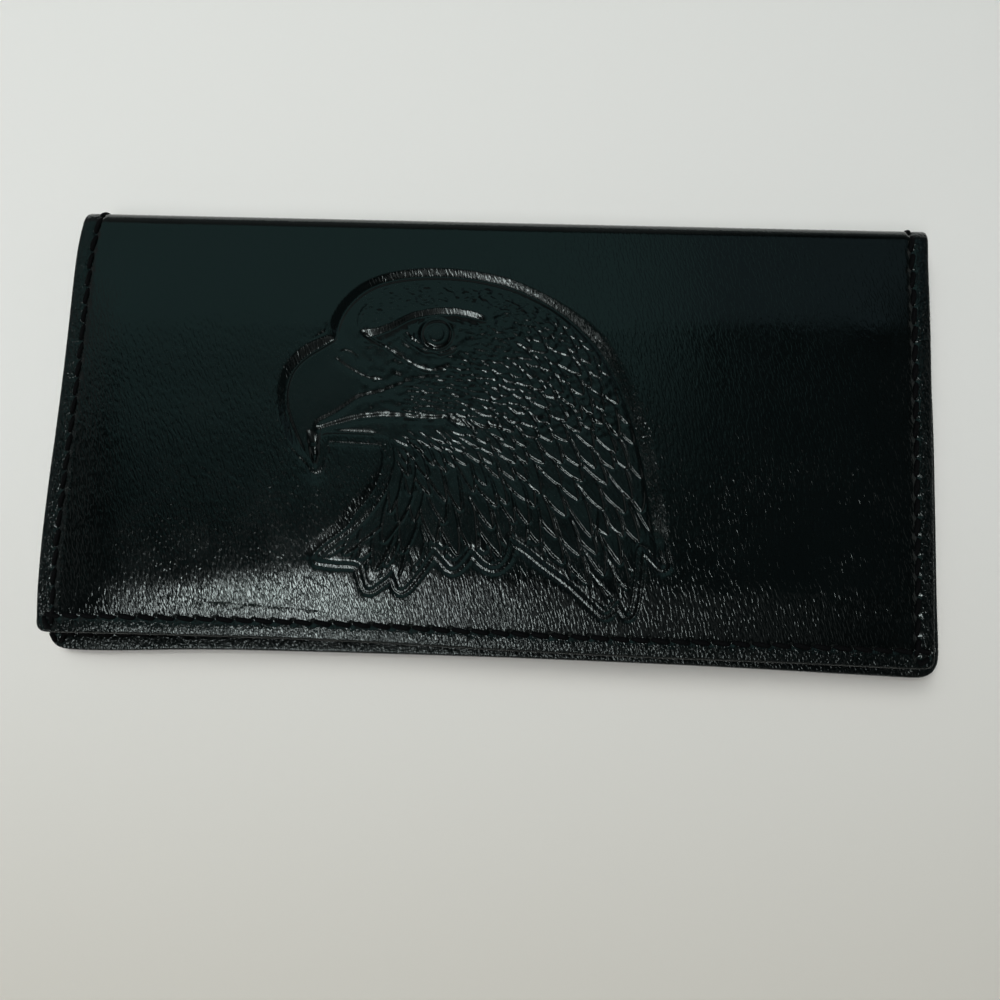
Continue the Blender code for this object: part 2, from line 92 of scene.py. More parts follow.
# feathers listed along the lower rim: tip x, y, direction, length, width
RIM = [(32.0, -23.4, 66, 9.5, 3.07), (28.6, -20.0, 68, 9.0, 2.83), (25.9, -31.6, 78, 10.5, 3.07), (22.0, -31.4, 52, 10.5, 3.07), (23.6, -28.6, 62, 9.5, 2.83), (18.4, -27.6, 50, 9.5, 3.3), (15.6, -25.4, 52, 9.5, 3.07), (12.4, -22.6, 55, 9.0, 3.54), (8.6, -20.0, 56, 8.5, 3.07), (5.4, -18.2, 60, 8.0, 3.07), (2.3, -23.0, 72, 9.5, 3.54), (-0.9, -21.9, 62, 9.5, 3.3), (-3.0, -20.0, 70, 8.5, 3.07), (-6.6, -23.4, 68, 9.5, 3.78), (-8.8, -21.4, 72, 9.0, 3.07), (-11.6, -20.6, 90, 9.0, 2.83), (-15.9, -28.6, 92, 10.5, 4.01), (-13.4, -24.6, 84, 9.0, 3.3), (-19.2, -25.0, 98, 9.5, 3.3), (-21.9, -28.6, 108, 10.5, 4.01), (-24.2, -24.0, 120, 8.0, 3.07), (-27.0, -23.6, 150, 7.0, 2.6), (-30.8, -24.2, 160, 7.0, 2.6)]



def spline(points, per=6):
    """Catmull-Rom curve through the points."""
    p = np.array(points, float)
    p = np.vstack([2 * p[0] - p[1], p, 2 * p[-1] - p[-2]])
    out = []
    for i in range(1, len(p) - 2):
        for k in range(per):
            t = k / per
            a, b, c, d = p[i - 1], p[i], p[i + 1], p[i + 2]
            out.append(0.5 * (2 * b + (c - a) * t + (2 * a - 5 * b + 4 * c - d) * t * t
                              + (3 * b - a - 3 * c + d) * t ** 3))
    out.append(p[-2])
    return np.array(out)


def to_line(px, py, line):
    """Distance of points to a polyline, which side they are on, and how far along it (0 to 1)."""
    best = np.full(px.shape, 1e9, np.float32)
    side = np.zeros(px.shape, np.float32)
    along = np.zeros(px.shape, np.float32)
    seg = np.diff(line, axis=0)
    length = np.hypot(seg[:, 0], seg[:, 1])
    total = np.concatenate([[0], np.cumsum(length)])
    for i in range(len(seg)):
        if length[i] < 1e-9:
            continue
        ux, uy = seg[i] / length[i]
        rx, ry = px - line[i, 0], py - line[i, 1]
        t = np.clip(rx * ux + ry * uy, 0, length[i])
        dx, dy = rx - t * ux, ry - t * uy
        d = np.hypot(dx, dy)
        near = d < best
        best = np.where(near, d, best)
        side = np.where(near, np.sign(ux * ry - uy * rx), side)
        along = np.where(near, (total[i] + t) / total[-1], along)
    return best, side, along


def inside(px, py, line):
    odd = np.zeros(px.shape, bool)
    x0, y0 = line[:, 0], line[:, 1]
    x1, y1 = np.roll(x0, -1), np.roll(y0, -1)
    for a, b, c, d in zip(x0, y0, x1, y1):
        if b == d:
            continue
        hit = ((b > py) != (d > py)) & (px < (c - a) * (py - b) / (d - b) + a)
        odd ^= hit
    return odd


def smooth(t):
    t = np.clip(t, 0, 1)
    return t * t * (3 - 2 * t)


def blur(h, sigma):
    r = int(math.ceil(3 * sigma))
    k = np.exp(-0.5 * (np.arange(-r, r + 1) / sigma) ** 2)
    k /= k.sum()
    p = np.pad(h, r, mode="edge")
    a = sum(k[i] * p[i:i + h.shape[0], :] for i in range(2 * r + 1))
    return sum(k[i] * a[:, i:i + h.shape[1]] for i in range(2 * r + 1))


def field(px, py, column):
    """Value of one FLOW column at points, weighted by nearness; angles are averaged as vectors."""
    f = np.array(FLOW, float)
    w = 1.0 / ((px[..., None] - f[:, 0]) ** 2 + (py[..., None] - f[:, 1]) ** 2 + 0.5) ** 1.6
    w /= w.sum(-1, keepdims=True)
    if column == 2:
        a = np.radians(f[:, 2])
        return np.arctan2((w * np.sin(a)).sum(-1), (w * np.cos(a)).sum(-1))
    return (w * f[:, column]).sum(-1)


STEP = 0.10
X0, X1, Y0, Y1 = -47.0, 39.5, -38.4, 37.0


def ledge(px, py, points, drop, width, reach, ends=(0.08, 0.12)):
    """A step down on the right-hand side of the line, fading back within reach."""
    line = spline(points, 5)
    m = ((px > line[:, 0].min() - 1) & (px < line[:, 0].max() + 1)
         & (py > line[:, 1].min() - reach - width - 1) & (py < line[:, 1].max() + width + 1))
    out = np.zeros(px.shape, np.float32)
    d, side, along = to_line(px[m], py[m], line)
    sd = d * side
    taper = smooth(along / ends[0]) * smooth((1 - along) / ends[1])
    out[m] = -drop * (1 - smooth((sd + width / 2) / width)) * (1 - smooth((-sd - width / 2) / reach)) * taper
    return out


def groove(px, py, points, depth, width, ends=(0.05, 0.05), lip=0.0):
    """A narrow pressed line, with a low lip on its right-hand side."""
    line = spline(points, 5)
    m = ((px > line[:, 0].min() - 1.5) & (px < line[:, 0].max() + 1.5)
         & (py > line[:, 1].min() - 1.5) & (py < line[:, 1].max() + 1.5))
    out = np.zeros(px.shape, np.float32)
    d, side, along = to_line(px[m], py[m], line)
    taper = smooth(along / ends[0]) * smooth((1 - along) / ends[1])
    out[m] = (-depth * np.exp(-(d / width) ** 2) + lip * np.exp(-((d * side + 2.2 * width) / width) ** 2)) * taper
    return out


def relief():
    """Height of the pressed figure in millimetres on a grid: 0 is the flap's plain surface."""
    nx, ny = int((X1 - X0) / STEP) + 1, int((Y1 - Y0) / STEP) + 1
    xs, ys = X0 + STEP * np.arange(nx), Y0 + STEP * np.arange(ny)
    gx, gy = np.meshgrid(xs, ys)
    gx, gy = gx.astype(np.float32), gy.astype(np.float32)
    outline = np.vstack([spline(BEAK_TOP, 5), spline(CROWN, 5)[:-1], spline(TIPS, 3)[:-1], spline(THROAT, 5)[:-1]])
    k = 2
    cx, cy = gx[::k, ::k], gy[::k, ::k]
    d, _, _ = to_line(cx, cy, np.vstack([outline, outline[:1]]))
    s = np.where(inside(cx, cy, outline), d, -d)
    yy, xx = np.arange(ny) / k, np.arange(nx) / k
    j0 = np.minimum(yy.astype(int), s.shape[0] - 2)
    i0 = np.minimum(xx.astype(int), s.shape[1] - 2)
    fy, fx = (yy - j0)[:, None], (xx - i0)[None, :]
    s = ((s[j0][:, i0] * (1 - fx) + s[j0][:, i0 + 1] * fx) * (1 - fy)
         + (s[j0 + 1][:, i0] * (1 - fx) + s[j0 + 1][:, i0 + 1] * fx) * fy)

    # wall: one broad slope along the crown and nape, elsewhere a shoulder, a band and an inner line
    band = np.maximum(1 - smooth((gx + 35 + 0.9 * (gy - 20)) / 5) * smooth((gy + 26) / 7), 1 - smooth((gy + 18 + 0.25 * (gx - 20)) / 6) * 1.0)
    band = np.clip(band, 0, 1)
    band = np.where((gy > -22) & (gx > 20), band * smooth((-16 - gy) / 6), band)
    top_of_beak = smooth((gy + 6.0) / 5) * (1 - smooth((gy - 17.0) / 2.2)) * smooth((-29.6 - gx) / 2.6) * smooth((-35.2 - gx + 0.6 * np.clip(gy, 0, 9)) / 1.2)
    firm = band
    band = band * (1 - top_of_beak)
    nape = smooth((gx - 8) / 16) * (1 - band)
    tips = smooth((-15.5 - gy) / 4) * band                    # crisp edge round the lower feathers
    # crown, nape and top of the beak: one slope down to a pressed line
    out = 1.95 + 0.85 * nape
    t = np.clip((s + out) / (out - 0.15), 0, 1)
    slope = -(0.66 - 0.06 * nape) * (0.30 * smooth(t) + 0.70 * t)
    # elsewhere: two pressed lines with a flat strip between them
    apart = 1.36 + 0.95 * (1 - tips) - 1.15 * np.exp(-((gx + 34.4) ** 2 + (gy + 6.0) ** 2) / 14)
    shoulder = smooth((-18 - gx) / 4) * smooth((gy + 25.2) / 1.2) * smooth((-5 - gy) / 8)
    strip = -(0.05 + 0.17 * shoulder) * smooth((s + apart + 2.0) / 2.0) * np.maximum(1 - tips, shoulder) - 0.09 * smooth((s + apart + 0.26) / 0.42)
    strip += -(0.10 + 0.10 * tips) * np.exp(-((s + apart) / np.where(s < -apart, 0.20 + 0.24 * tips, 0.20 - 0.07 * tips)) ** 2)
    strip += -(0.13 + 0.08 * tips) * np.exp(-((s + 0.02) / np.where(s < -0.02, 0.23 + 0.16 * tips, 0.23 - 0.06 * tips)) ** 2)
    foot = slope + (strip - slope) * band
    level = -0.41 - 0.02 * nape + 0.17 * firm + 0.08 * smooth(s / 9)
    inner = smooth((s + 0.06) / (0.52 + 0.35 * nape))
    h = np.where(s > -0.06, foot * (1 - inner) + level * inner, foot)

    # face
    ex, ey = EYE
    h += ledge(gx, gy, BROW, 0.44, 1.30, 2.2)
    h += groove(gx, gy, [(x + 0.1, y - 0.8) for x, y in BROW], 0.07, 0.3)
    h += groove(gx, gy, BROW_FRONT, 0.14, 0.33, (0.05, 0.3))
    h += groove(gx, gy, REAR_BROW, 0.07, 0.30, (0.1, 0.3))
    re = np.hypot(gx - ex, gy - ey)
    h += -0.16 * (1 - smooth((re - 2.6) / 2.6))
    under = smooth(((ey - gy) * 0.8 + (ex - gx) * 0.6) / (re + 0.1) * 0.5 + 0.55)
    h += 0.20 * np.clip(1 - (re / 2.9) ** 3, 0, 1)
    h += -(0.20 + 0.08 * under) * np.where(re > 2.95, np.clip(1 - (re - 2.95) / 0.60, 0, 1), smooth((re - 2.55) / 0.4))
    h += -0.09 * np.where(re > 1.6, np.clip(1 - (re - 1.6) / 0.35, 0, 1), smooth((re - 1.35) / 0.25))
    h += -0.07 * np.where(re > 4.3, np.clip(1 - (re - 4.3) / 0.30, 0, 1), smooth((re - 4.0) / 0.3)) * under
    h += groove(gx, gy, LID, 0.17, 0.30, (0.1, 0.1), 0.05)
    h += groove(gx, gy, LID_IN, 0.15, 0.27, (0.1, 0.1), 0.04)
    h += groove(gx, gy, LORE, 0.16, 0.26, (0.03, 0.12), 0.04)
    h += groove(gx, gy, [(-26.6, 19.6), (-25.0, 18.5), (-23.3, 17.4), (-21.9, 16.6)], 0.10, 0.24)
    h += groove(gx, gy, CERE, 0.15, 0.26, (0.1, 0.2), -0.03)
    h += groove(gx, gy, NOSTRIL, 0.13, 0.25, (0.15, 0.2))
    h += ledge(gx, gy, GAPE, 0.15, 0.55, 1.6, (0.04, 0.35))
    h += ledge(gx, gy, LEDGE, 0.24, 0.62, 1.5, (0.04, 0.06))
    h += groove(gx, gy, [(x, y - 0.50) for x, y in LEDGE], 0.07, 0.22, (0.1, 0.1))
    h += ledge(gx, gy, CHIN, 0.10, 0.55, 1.0, (0.1, 0.2))
    h += ledge(gx, gy, FRINGE[:3], 0.16, 0.7, 1.2, (0.05, 0.3))
    h += ledge(gx, gy, [(-9.0, 3.0), (-6.6, 2.0), (-3.0, 1.3), (0.6, 1.6), (3.4, 2.7)], 0.16, 0.8, 1.6, (0.2, 0.3))
    # hook: the beak's tip and its inner side fall away
    run = np.clip(-0.2 - gy, 0, 7)
    wedge = -0.165 * run + 0.26 * smooth((run - 2.5) / 0.3)
    left = -36.1 + 0.27 * run
    h += wedge * smooth((s - 0.05) / 0.5) * (gx < -32.8) * smooth((gx - left) / 0.5)
    h += ledge(gx, gy, [(-34.3, 0.9), (-34.6, -1.5), (-34.5, -3.8), (-34.1, -5.6)][::-1], 0.18, 1.2, 1.4, (0.1, 0.1))

    # uneven leather on the crown, round the eye and on the cheek
    rng = np.random.RandomState(5)
    dents = blur(rng.normal(size=h.shape).astype(np.float32), 3.4)
    dents = 0.030 * dents / dents.std() * (1 + 0.5 * smooth((gy - 17) / 4))
    h += dents * smooth((s - 0.5) / 1.5) * smooth((gx + 27.5) / 3) * smooth((gy + 2) / 4) * smooth((re - 3.2) / 0.8) * (1 + groove(gx, gy, BROW, 1.0, 1.5))

    # feathers
    rng = np.random.RandomState(11)
    lore = spline(LORE, 6)
    fx = rng.uniform(X0, X1, 90000)
    fy = rng.uniform(Y0, Y1, 90000)
    ix = np.clip(((fx - X0) / STEP).astype(int), 0, nx - 1)
    iy = np.clip(((fy - Y0) / STEP).astype(int), 0, ny - 1)
    keep = s[iy, ix] > 0.7
    fx, fy = fx[keep], fy[keep]
    brow = spline(BROW + REAR_BROW[1:2], 6)

    def face(x, y):
        db, bs, ba = to_line(x, y, brow)
        near_brow = (db < 1.3) & (ba < 0.97)
        eye = ((x - ex) / 6.4) ** 2 + ((y - ey + 0.6) / 4.6) ** 2 < 1
        beak = (x < -27) | ((x < -12.0) & (y > 10.2) & (y < 22)) | ((x < -17.0) & (y > -0.8) & (y < 12))
        low = (x < -7.8) & (y > -0.6) & (y < 4.2)
        lores = (x < -8.5) & (y > 12.4) & (y < 19)
        return near_brow | eye | beak | low | lores
    keep = ~face(fx, fy)
    fx, fy = fx[keep], fy[keep]
    ang, lng, wid = field(fx, fy, 2), field(fx, fy, 3), field(fx, fy, 4)
    feathers = []
    ax, ay = np.empty(4000), np.empty(4000)
    n = 0
    for x, y, a, l, w in zip(fx, fy, ang, lng, wid):
        if n:
            dx, dy = ax[:n] - x, ay[:n] - y
            ca, sa = math.cos(a), -math.sin(a)
            u, v = dx * ca + dy * sa, -dx * sa + dy * ca
            if np.min((u / (0.52 * l)) ** 2 + (v / (0.80 * w)) ** 2) < 1:
                continue
        ax[n], ay[n] = x, y
        n += 1
        feathers.append((x, y, a + rng.uniform(-0.10, 0.10), l * rng.uniform(0.9, 1.15), w * rng.uniform(0.9, 1.12), 0))
    for tx, ty, a, l, w in RIM:
        a = math.radians(a)
        feathers.append((tx - math.cos(a) * l * 0.55, ty + math.sin(a) * l * 0.55, a, l, w, 1))
    feathers.sort(key=lambda q: -(math.hypot(q[0] + 17, (q[1] - 12)) + (3.5 if q[5] else 0)))
    base = h.copy()
    for x, y, a, l, w, rim in feathers:
        half_l, half_w = l * 0.62, w * 0.60
        ca, sa = math.cos(a), -math.sin(a)
        reach = half_l + half_w
        i0, i1 = int((x - reach - X0) / STEP), int((x + reach - X0) / STEP) + 2
        j0, j1 = int((y - reach - Y0) / STEP), int((y + reach - Y0) / STEP) + 2
        i0, j0, i1, j1 = max(i0, 0), max(j0, 0), min(i1, nx), min(j1, ny)
        wx, wy = gx[j0:j1, i0:i1] - x, gy[j0:j1, i0:i1] - y
        along, across = wx * ca + wy * sa, -wx * sa + wy * ca
        across = across + rng.uniform(-0.05, 0.05) * (along ** 2 / half_l - half_l * 0.3)
        point = 0.60 if l < 3 else 0.72
        u, v = along / half_l, across / half_w
        r = np.clip(1 - u, 0, 2) ** point * np.clip(1 + u, 0, 2) ** 0.30 / 1.12
        # rough distance in from the leaf's edge, in millimetres
        edge = (r - np.abs(v)) * half_w / np.sqrt(1 + (0.55 * half_w / half_l / np.maximum(1 - u, 0.12) ** 0.4) ** 2)
        edge = np.where(np.abs(u) < 1, edge, -1.0)
        big = smooth((l - 2.2) / 3.0)
        calm = 1 - 0.62 * float(smooth((4 - x) / 8) * smooth((y - 20.5) / 3))      # the crown is nearly plain
        shine = max(0.0, rng.uniform(-2.1, 1.0))
        rise = (0.015 + 0.015 * big + shine * (0.012 + 0.060 * big)) * calm
        bevel = (0.16 + 0.06 * big) + shine * (0.15 + 0.45 * big * smooth((u + 0.1) / 0.7))
        ease = np.clip((edge + 0.02) / bevel, 0, 1)
        top = (rise + (0.012 + 0.010 * big) * calm * np.clip(along + 0.2 * half_l, 0, 9)) * np.sqrt(1 - (1 - ease) ** 2)
        top = top + across * rng.uniform(-0.022, 0.022) * smooth(edge / 0.3)
        if l > 3.2:
            top = top - 0.020 * np.exp(-(across / 0.16) ** 2) * smooth((0.75 - u) / 0.5) * smooth((u + 0.9) / 0.4)
            top = top + 0.010 * big * np.sin((along * 0.25 + np.abs(across) * 1.0) / 0.13 + 6 * rng.uniform()) * smooth(edge / 0.3)
        if rim:
            top = top - 0.24 * smooth((u - 0.30) / 0.70)
        win, bwin, sw = h[j0:j1, i0:i1], base[j0:j1, i0:i1], s[j0:j1, i0:i1]
        fall = smooth((sw - 0.1) / 0.9)
        ramp = 0.24 + 0.22 * big
        ring = (edge > -ramp) & (edge <= 0.0) & (u > -0.55) & (sw > 0.2)
        depth = (0.085 + 0.150 * big) * smooth((u + 0.55) / 0.4) * fall * (0.4 + 0.6 * calm)
        h[j0:j1, i0:i1] = np.where(ring, win - depth * np.clip(1 + edge / ramp, 0, 1), win)
        win = h[j0:j1, i0:i1]
        h[j0:j1, i0:i1] = np.where((edge > 0) & (sw > 0.05), bwin + (top - 0.02) * fall, win)
    return gx, gy, s, h, outline, len(feathers)


# ================================================================ the bent leather
def on_back(t, z):
    """t runs along the leather from the free edge, z counts from the outer face inwards."""
    t, z = np.asarray(t, float), np.asarray(z, float)
    a = np.clip((t - Y_BEND) / BEND_RADIUS, 0, math.pi / 2)
    r = ARC_C - z
    y = np.where(t <= Y_BEND, t, Y_BEND + r * np.sin(a))
    h = np.where(t <= Y_BEND, z, ARC_C - r * np.cos(a) + np.maximum(t - T_ARC, 0))
    return y, h


def on_front(t, z):
    """The same form mirrored in height, tilted open about the upper crease."""
    y, h = on_back(t, z)
    h = HEIGHT - h
    a = -FLAP_LIFT * (1 - smooth((np.asarray(t, float) - Y_BEND) / (T_ARC - Y_BEND)))
    ry, rh = y - PIVOT_2[0], h - PIVOT_2[1]
    return PIVOT_2[0] + ry * np.cos(a) - rh * np.sin(a), PIVOT_2[1] + ry * np.sin(a) + rh * np.cos(a)


# ================================================================ outlines, in x and t
# each half's left, bottom and right edge; the corners are rounded afterwards
FLAP_SIDES = (
    [(-83.3, T_MID), (-83.4, 44.5), (-83.75, 41.0), (-84.25, 37.0), (-84.55, 31.0), (-84.8, 14.0), (-85.15, -1.0), (-85.5, -10.0), (-85.75, -21.0), (-85.7, -30.0), (-85.4, -36.0), (-85.1, -40.1)],
    [(-85.1, -40.1), (-80.0, -40.15), (-57.0, -39.85), (-27.0, -39.85), (-1.0, -40.35), (27.0, -40.75), (56.0, -40.8), (76.0, -41.0), (82.0, -40.9)],
    [(82.0, -40.9), (82.1, -30.0), (82.2, -21.0), (82.4, 0.0), (82.6, 21.0), (82.75, 36.0), (82.9, 42.0), (83.0, T_MID)])
BACK_SIDES = (
    [(-83.3, T_MID), (-83.4, 44.5), (-83.8, 41.0), (-84.35, 36.0), (-84.65, 29.0), (-84.9, 10.0), (-85.4, -12.0), (-86.1, -30.0), (-86.6, -43.6)],
    [(-86.6, -43.6), (-76.0, -43.75), (-56.0, -42.85), (-36.0, -42.5), (2.5, -42.2), (41.0, -42.4), (70.0, -42.9), (86.1, -43.2)],
    [(86.1, -43.2), (86.1, -35.0), (86.0, -28.0), (86.0, -9.0), (85.9, 7.0), (85.4, 21.0), (84.4, 34.0), (83.3, 42.0), (83.0, T_MID)])


def steps_along(line):
    return np.concatenate([[0], np.cumsum(np.hypot(*np.diff(line, axis=0).T))])


def resample(line, step):
    s = steps_along(line)
    n = max(2, int(round(s[-1] / step)) + 1)
    u = np.linspace(0, s[-1], n)
    return np.stack([np.interp(u, s, line[:, 0]), np.interp(u, s, line[:, 1])], 1)


def normals(line):
    """Unit normals on the left of the line; both ends look along x."""
    d = np.gradient(line, axis=0)
    d /= np.hypot(d[:, 0], d[:, 1])[:, None]
    n = np.stack([-d[:, 1], d[:, 0]], 1)
    for i in (0, -1):
        n[i] = (math.copysign(1.0, n[i, 0]), 0.0)
    return n


def shifted(line, d):
    return line + normals(line) * d


def trimmed(line, start=0.0, end=0.0):
    s = steps_along(line)
    u = np.linspace(start, s[-1] - end, len(line))
    return np.stack([np.interp(u, s, line[:, 0]), np.interp(u, s, line[:, 1])], 1)


def crossing(a, b):
    """Arc lengths at which two lines cross: from a's end and from b's start."""
    sa, sb = steps_along(a), steps_along(b)
    for i in range(len(a) - 2, -1, -1):
        p, r = a[i], a[i + 1] - a[i]
        for j in range(0, min(len(b) - 1, 200)):
            q, s = b[j], b[j + 1] - b[j]
            den = r[0] * s[1] - r[1] * s[0]
            if abs(den) < 1e-12:
                continue
            u = ((q[0] - p[0]) * s[1] - (q[1] - p[1]) * s[0]) / den
            v = ((q[0] - p[0]) * r[1] - (q[1] - p[1]) * r[0]) / den
            if -1e-9 <= u <= 1 + 1e-9 and -1e-9 <= v <= 1 + 1e-9:
                return sa[-1] - (sa[i] + u * (sa[i + 1] - sa[i])), sb[j] + v * (sb[j + 1] - sb[j])
    return 0.0, 0.0


def joined(a, b, r):
    """Line a, a rounded corner of about radius r, line b."""
    corner = a[-1]
    a, b = trimmed(a, 0, r), trimmed(b, r, 0)
    u = np.linspace(0, 1, 9)[1:-1, None]
    bend = (1 - u) ** 2 * a[-1] + 2 * u * (1 - u) * corner + u ** 2 * b[0]
    return np.vstack([a, bend, b])


def free_path(sides, d, r_left, r_right, step):
    """Path at distance d inside the three free edges, from the cut on the left to the cut on the right."""
    left, low, right = [resample(spline(side, 10), 0.5) for side in sides]
    if d:
        left, low, right = shifted(left, d), shifted(low, d), shifted(right, d)
        a, b = crossing(left, low)
        left, low = trimmed(left, 0, a), trimmed(low, b, 0)
        a, b = crossing(low, right)
        low, right = trimmed(low, 0, a), trimmed(right, b, 0)
    path = joined(joined(left, low, r_left), right, r_right)
    return resample(path, step)


# ================================================================ meshes
def triangles(boundary, points):
    """Triangulates a closed loop with points inside it. Returns all points, boundary first, and faces."""
    n = len(boundary)
    every = np.vstack([boundary, points]) if len(points) else np.array(boundary)
    coords = [Vector((float(x), float(y))) for x, y in every]
    edges = [(i, (i + 1) % n) for i in range(n)]
    out = delaunay_2d_cdt(coords, edges, [], 1, 1e-6, True)
    back = np.array([ids[0] if ids else -1 for ids in out[3]])
    faces = back[np.array([f for f in out[2]], int)]
    faces = faces[(faces >= 0).all(1)]
    a, b, c = every[faces[:, 0]], every[faces[:, 1]], every[faces[:, 2]]
    area2 = (b[:, 0] - a[:, 0]) * (c[:, 1] - a[:, 1]) - (b[:, 1] - a[:, 1]) * (c[:, 0] - a[:, 0])
    middle = (a + b + c) / 3
    return every, faces[(np.abs(area2) > 1e-12) & inside(middle[:, 0], middle[:, 1], np.asarray(boundary))]


def well_inside(points, loop, margin):
    if not len(points):
        return points
    keep = inside(points[:, 0], points[:, 1], loop)
    points = points[keep]
    d, _, _ = to_line(points[:, 0], points[:, 1], np.vstack([loop, loop[:1]]))
    return points[d > margin]


def lattice(x0, x1, y0, y1, q):
    """Triangular lattice of points of spacing q."""
    rows = []
    dy = q * math.sqrt(3) / 2
    for j in range(int((y1 - y0) / dy) + 1):
        xs = np.arange(x0 + (q / 2 if j % 2 else 0), x1, q)
        rows.append(np.stack([xs, np.full(len(xs), y0 + j * dy)], 1))
    return np.vstack(rows)


def apart(points, others, gap):
    """Points that keep the gap from all the others, by a grid of cells."""
    cells = {}
    size = gap
    for x, y in others:
        cells.setdefault((int(math.floor(x / size)), int(math.floor(y / size))), []).append((x, y))
    keep = []
    for x, y in points:
        i, j = int(math.floor(x / size)), int(math.floor(y / size))
        near = False
        for a in (i - 1, i, i + 1):
            for b in (j - 1, j, j + 1):
                for ox, oy in cells.get((a, b), ()):
                    if (ox - x) ** 2 + (oy - y) ** 2 < gap * gap:
                        near = True
                        break
                if near:
                    break
            if near:
                break
        keep.append(not near)
    return points[np.array(keep, bool)] if len(points) else points


def new_mesh(name, rest, faces, place, mats, mat_index=None, press=None, sharp_t=None):
    """Closed mesh from points (x, t, z) and faces, laid on the bent form by place."""
    y, h = place(rest[:, 1], rest[:, 2])
    co = np.stack([rest[:, 0], y, h], 1) * MM
    mesh = bpy.data.meshes.new(name)
    sizes = np.array([len(f) for f in faces])
    flat = np.concatenate([np.asarray(f, int) for f in faces])
    mesh.vertices.add(len(co))
    mesh.vertices.foreach_set("co", co.ravel())
    mesh.loops.add(len(flat))
    mesh.loops.foreach_set("vertex_index", flat)
    mesh.polygons.add(len(sizes))
    mesh.polygons.foreach_set("loop_start", np.concatenate([[0], np.cumsum(sizes)[:-1]]))
    mesh.polygons.foreach_set("use_smooth", np.ones(len(sizes), bool))
    if mat_index is not None:
        mesh.polygons.foreach_set("material_index", np.asarray(mat_index, np.int32))
    mesh.update(calc_edges=True)
    layer = mesh.attributes.new("rest", "FLOAT_VECTOR", "POINT")
    layer.data.foreach_set("vector", rest.astype(np.float32).ravel())
    layer = mesh.attributes.new("press", "FLOAT", "POINT")
    layer.data.foreach_set("value", (np.zeros(len(rest)) if press is None else press).astype(np.float32))
    bm = bmesh.new()
    bm.from_mesh(mesh)
    bmesh.ops.recalc_face_normals(bm, faces=bm.faces)
    bm.to_mesh(mesh)
    bm.free()
    if sharp_t is not None:
        ends = np.empty(len(mesh.edges) * 2, np.int32)
        mesh.edges.foreach_get("vertices", ends)
        ends = ends.reshape(-1, 2)
        at_cut = (rest[ends, 1] >= sharp_t - 1e-6).all(1)
        mark = mesh.attributes.get("sharp_edge") or mesh.attributes.new("sharp_edge", "BOOLEAN", "EDGE")
        mark.data.foreach_set("value", at_cut)
    for mat in mats:
        mesh.materials.append(mat)
    obj = bpy.data.objects.new(name, mesh)
    scene.collection.objects.link(obj)
    return obj


def ring_solid(name, rings, levels, top_points, top_z, low_points, low_z, place, mats, rim, press=None, sharp_t=None):
    """A sheet with a shaped rim: rings of equal length from the outer face to the inner one."""
    k = len(rings[0])
    pts, faces, index = [], [], []
    for ring, level in zip(rings, levels):
        pts.append(np.column_stack([ring, np.broadcast_to(level, (k,))]))
    top_all, top_faces = triangles(rings[0], top_points)
    low_all, low_faces = triangles(rings[-1], low_points)
    pts.append(np.column_stack([top_all[k:], top_z(top_all[k:, 0], top_all[k:, 1])]))
    pts.append(np.column_stack([low_all[k:], low_z(low_all[k:, 0], low_all[k:, 1])]))
    rest = np.vstack(pts)
    r = len(rings)
    top_map = np.concatenate([np.arange(k), r * k + np.arange(len(top_all) - k)])
    low_map = np.concatenate([(r - 1) * k + np.arange(k), r * k + len(top_all) - k + np.arange(len(low_all) - k)])
    # all faces wound the same way round: top as it is, strips outwards, bottom reversed
    quads = []
    a = np.arange(k)
    b = (a + 1) % k
    for i in range(r - 1):
        quads.append(np.stack([i * k + b, i * k + a, (i + 1) * k + a, (i + 1) * k + b], 1))
        index += [1 if rim[i] else 0] * k
    quads = np.vstack(quads)
    tris = np.vstack([top_map[top_faces], low_map[low_faces][:, ::-1]])
    index += [0] * len(tris)
    faces = [q for q in quads] + [t for t in tris]
    value = None
    if press is not None:
        value = press(rest[:, 0], rest[:, 1], rest[:, 2])
    return new_mesh(name, rest, faces, place, mats, index, value, sharp_t)


# ================================================================ the pressed figure's height
t_gx, t_gy, figure_s, figure_h, figure_line, _ = relief()
figure_h = blur(figure_h.astype(float), 1.0)


def look_up(raster, x, y, outside=0.0):
    fx, fy = (np.asarray(x) - X0) / STEP, (np.asarray(y) - Y0) / STEP
    ok = (fx >= 0) & (fy >= 0) & (fx < raster.shape[1] - 1.001) & (fy < raster.shape[0] - 1.001)
    i = np.clip(fx.astype(int), 0, raster.shape[1] - 2)
    j = np.clip(fy.astype(int), 0, raster.shape[0] - 2)
    a, b = np.clip(fx - i, 0, 1), np.clip(fy - j, 0, 1)
    v = ((raster[j, i] * (1 - a) + raster[j, i + 1] * a) * (1 - b)
         + (raster[j + 1, i] * (1 - a) + raster[j + 1, i + 1] * a) * b)
    return np.where(ok, v, outside)


# ================================================================ seams
def seam(sides, r):
    """Seam line, its arc lengths, and the holes along it."""
    path = free_path(sides, SEAM_INSET, r, r, 0.3)
    s = steps_along(path)
    count = int(round(s[-1] / PITCH))
    holes = np.linspace(0, s[-1], count + 1)
    at = np.stack([np.interp(holes, s, path[:, 0]), np.interp(holes, s, path[:, 1])], 1)
    return {"path": path, "s": s, "holes": holes, "at": at}


flap_seam = seam(FLAP_SIDES, 1.8)
back_seam = seam(BACK_SIDES, 2.6)


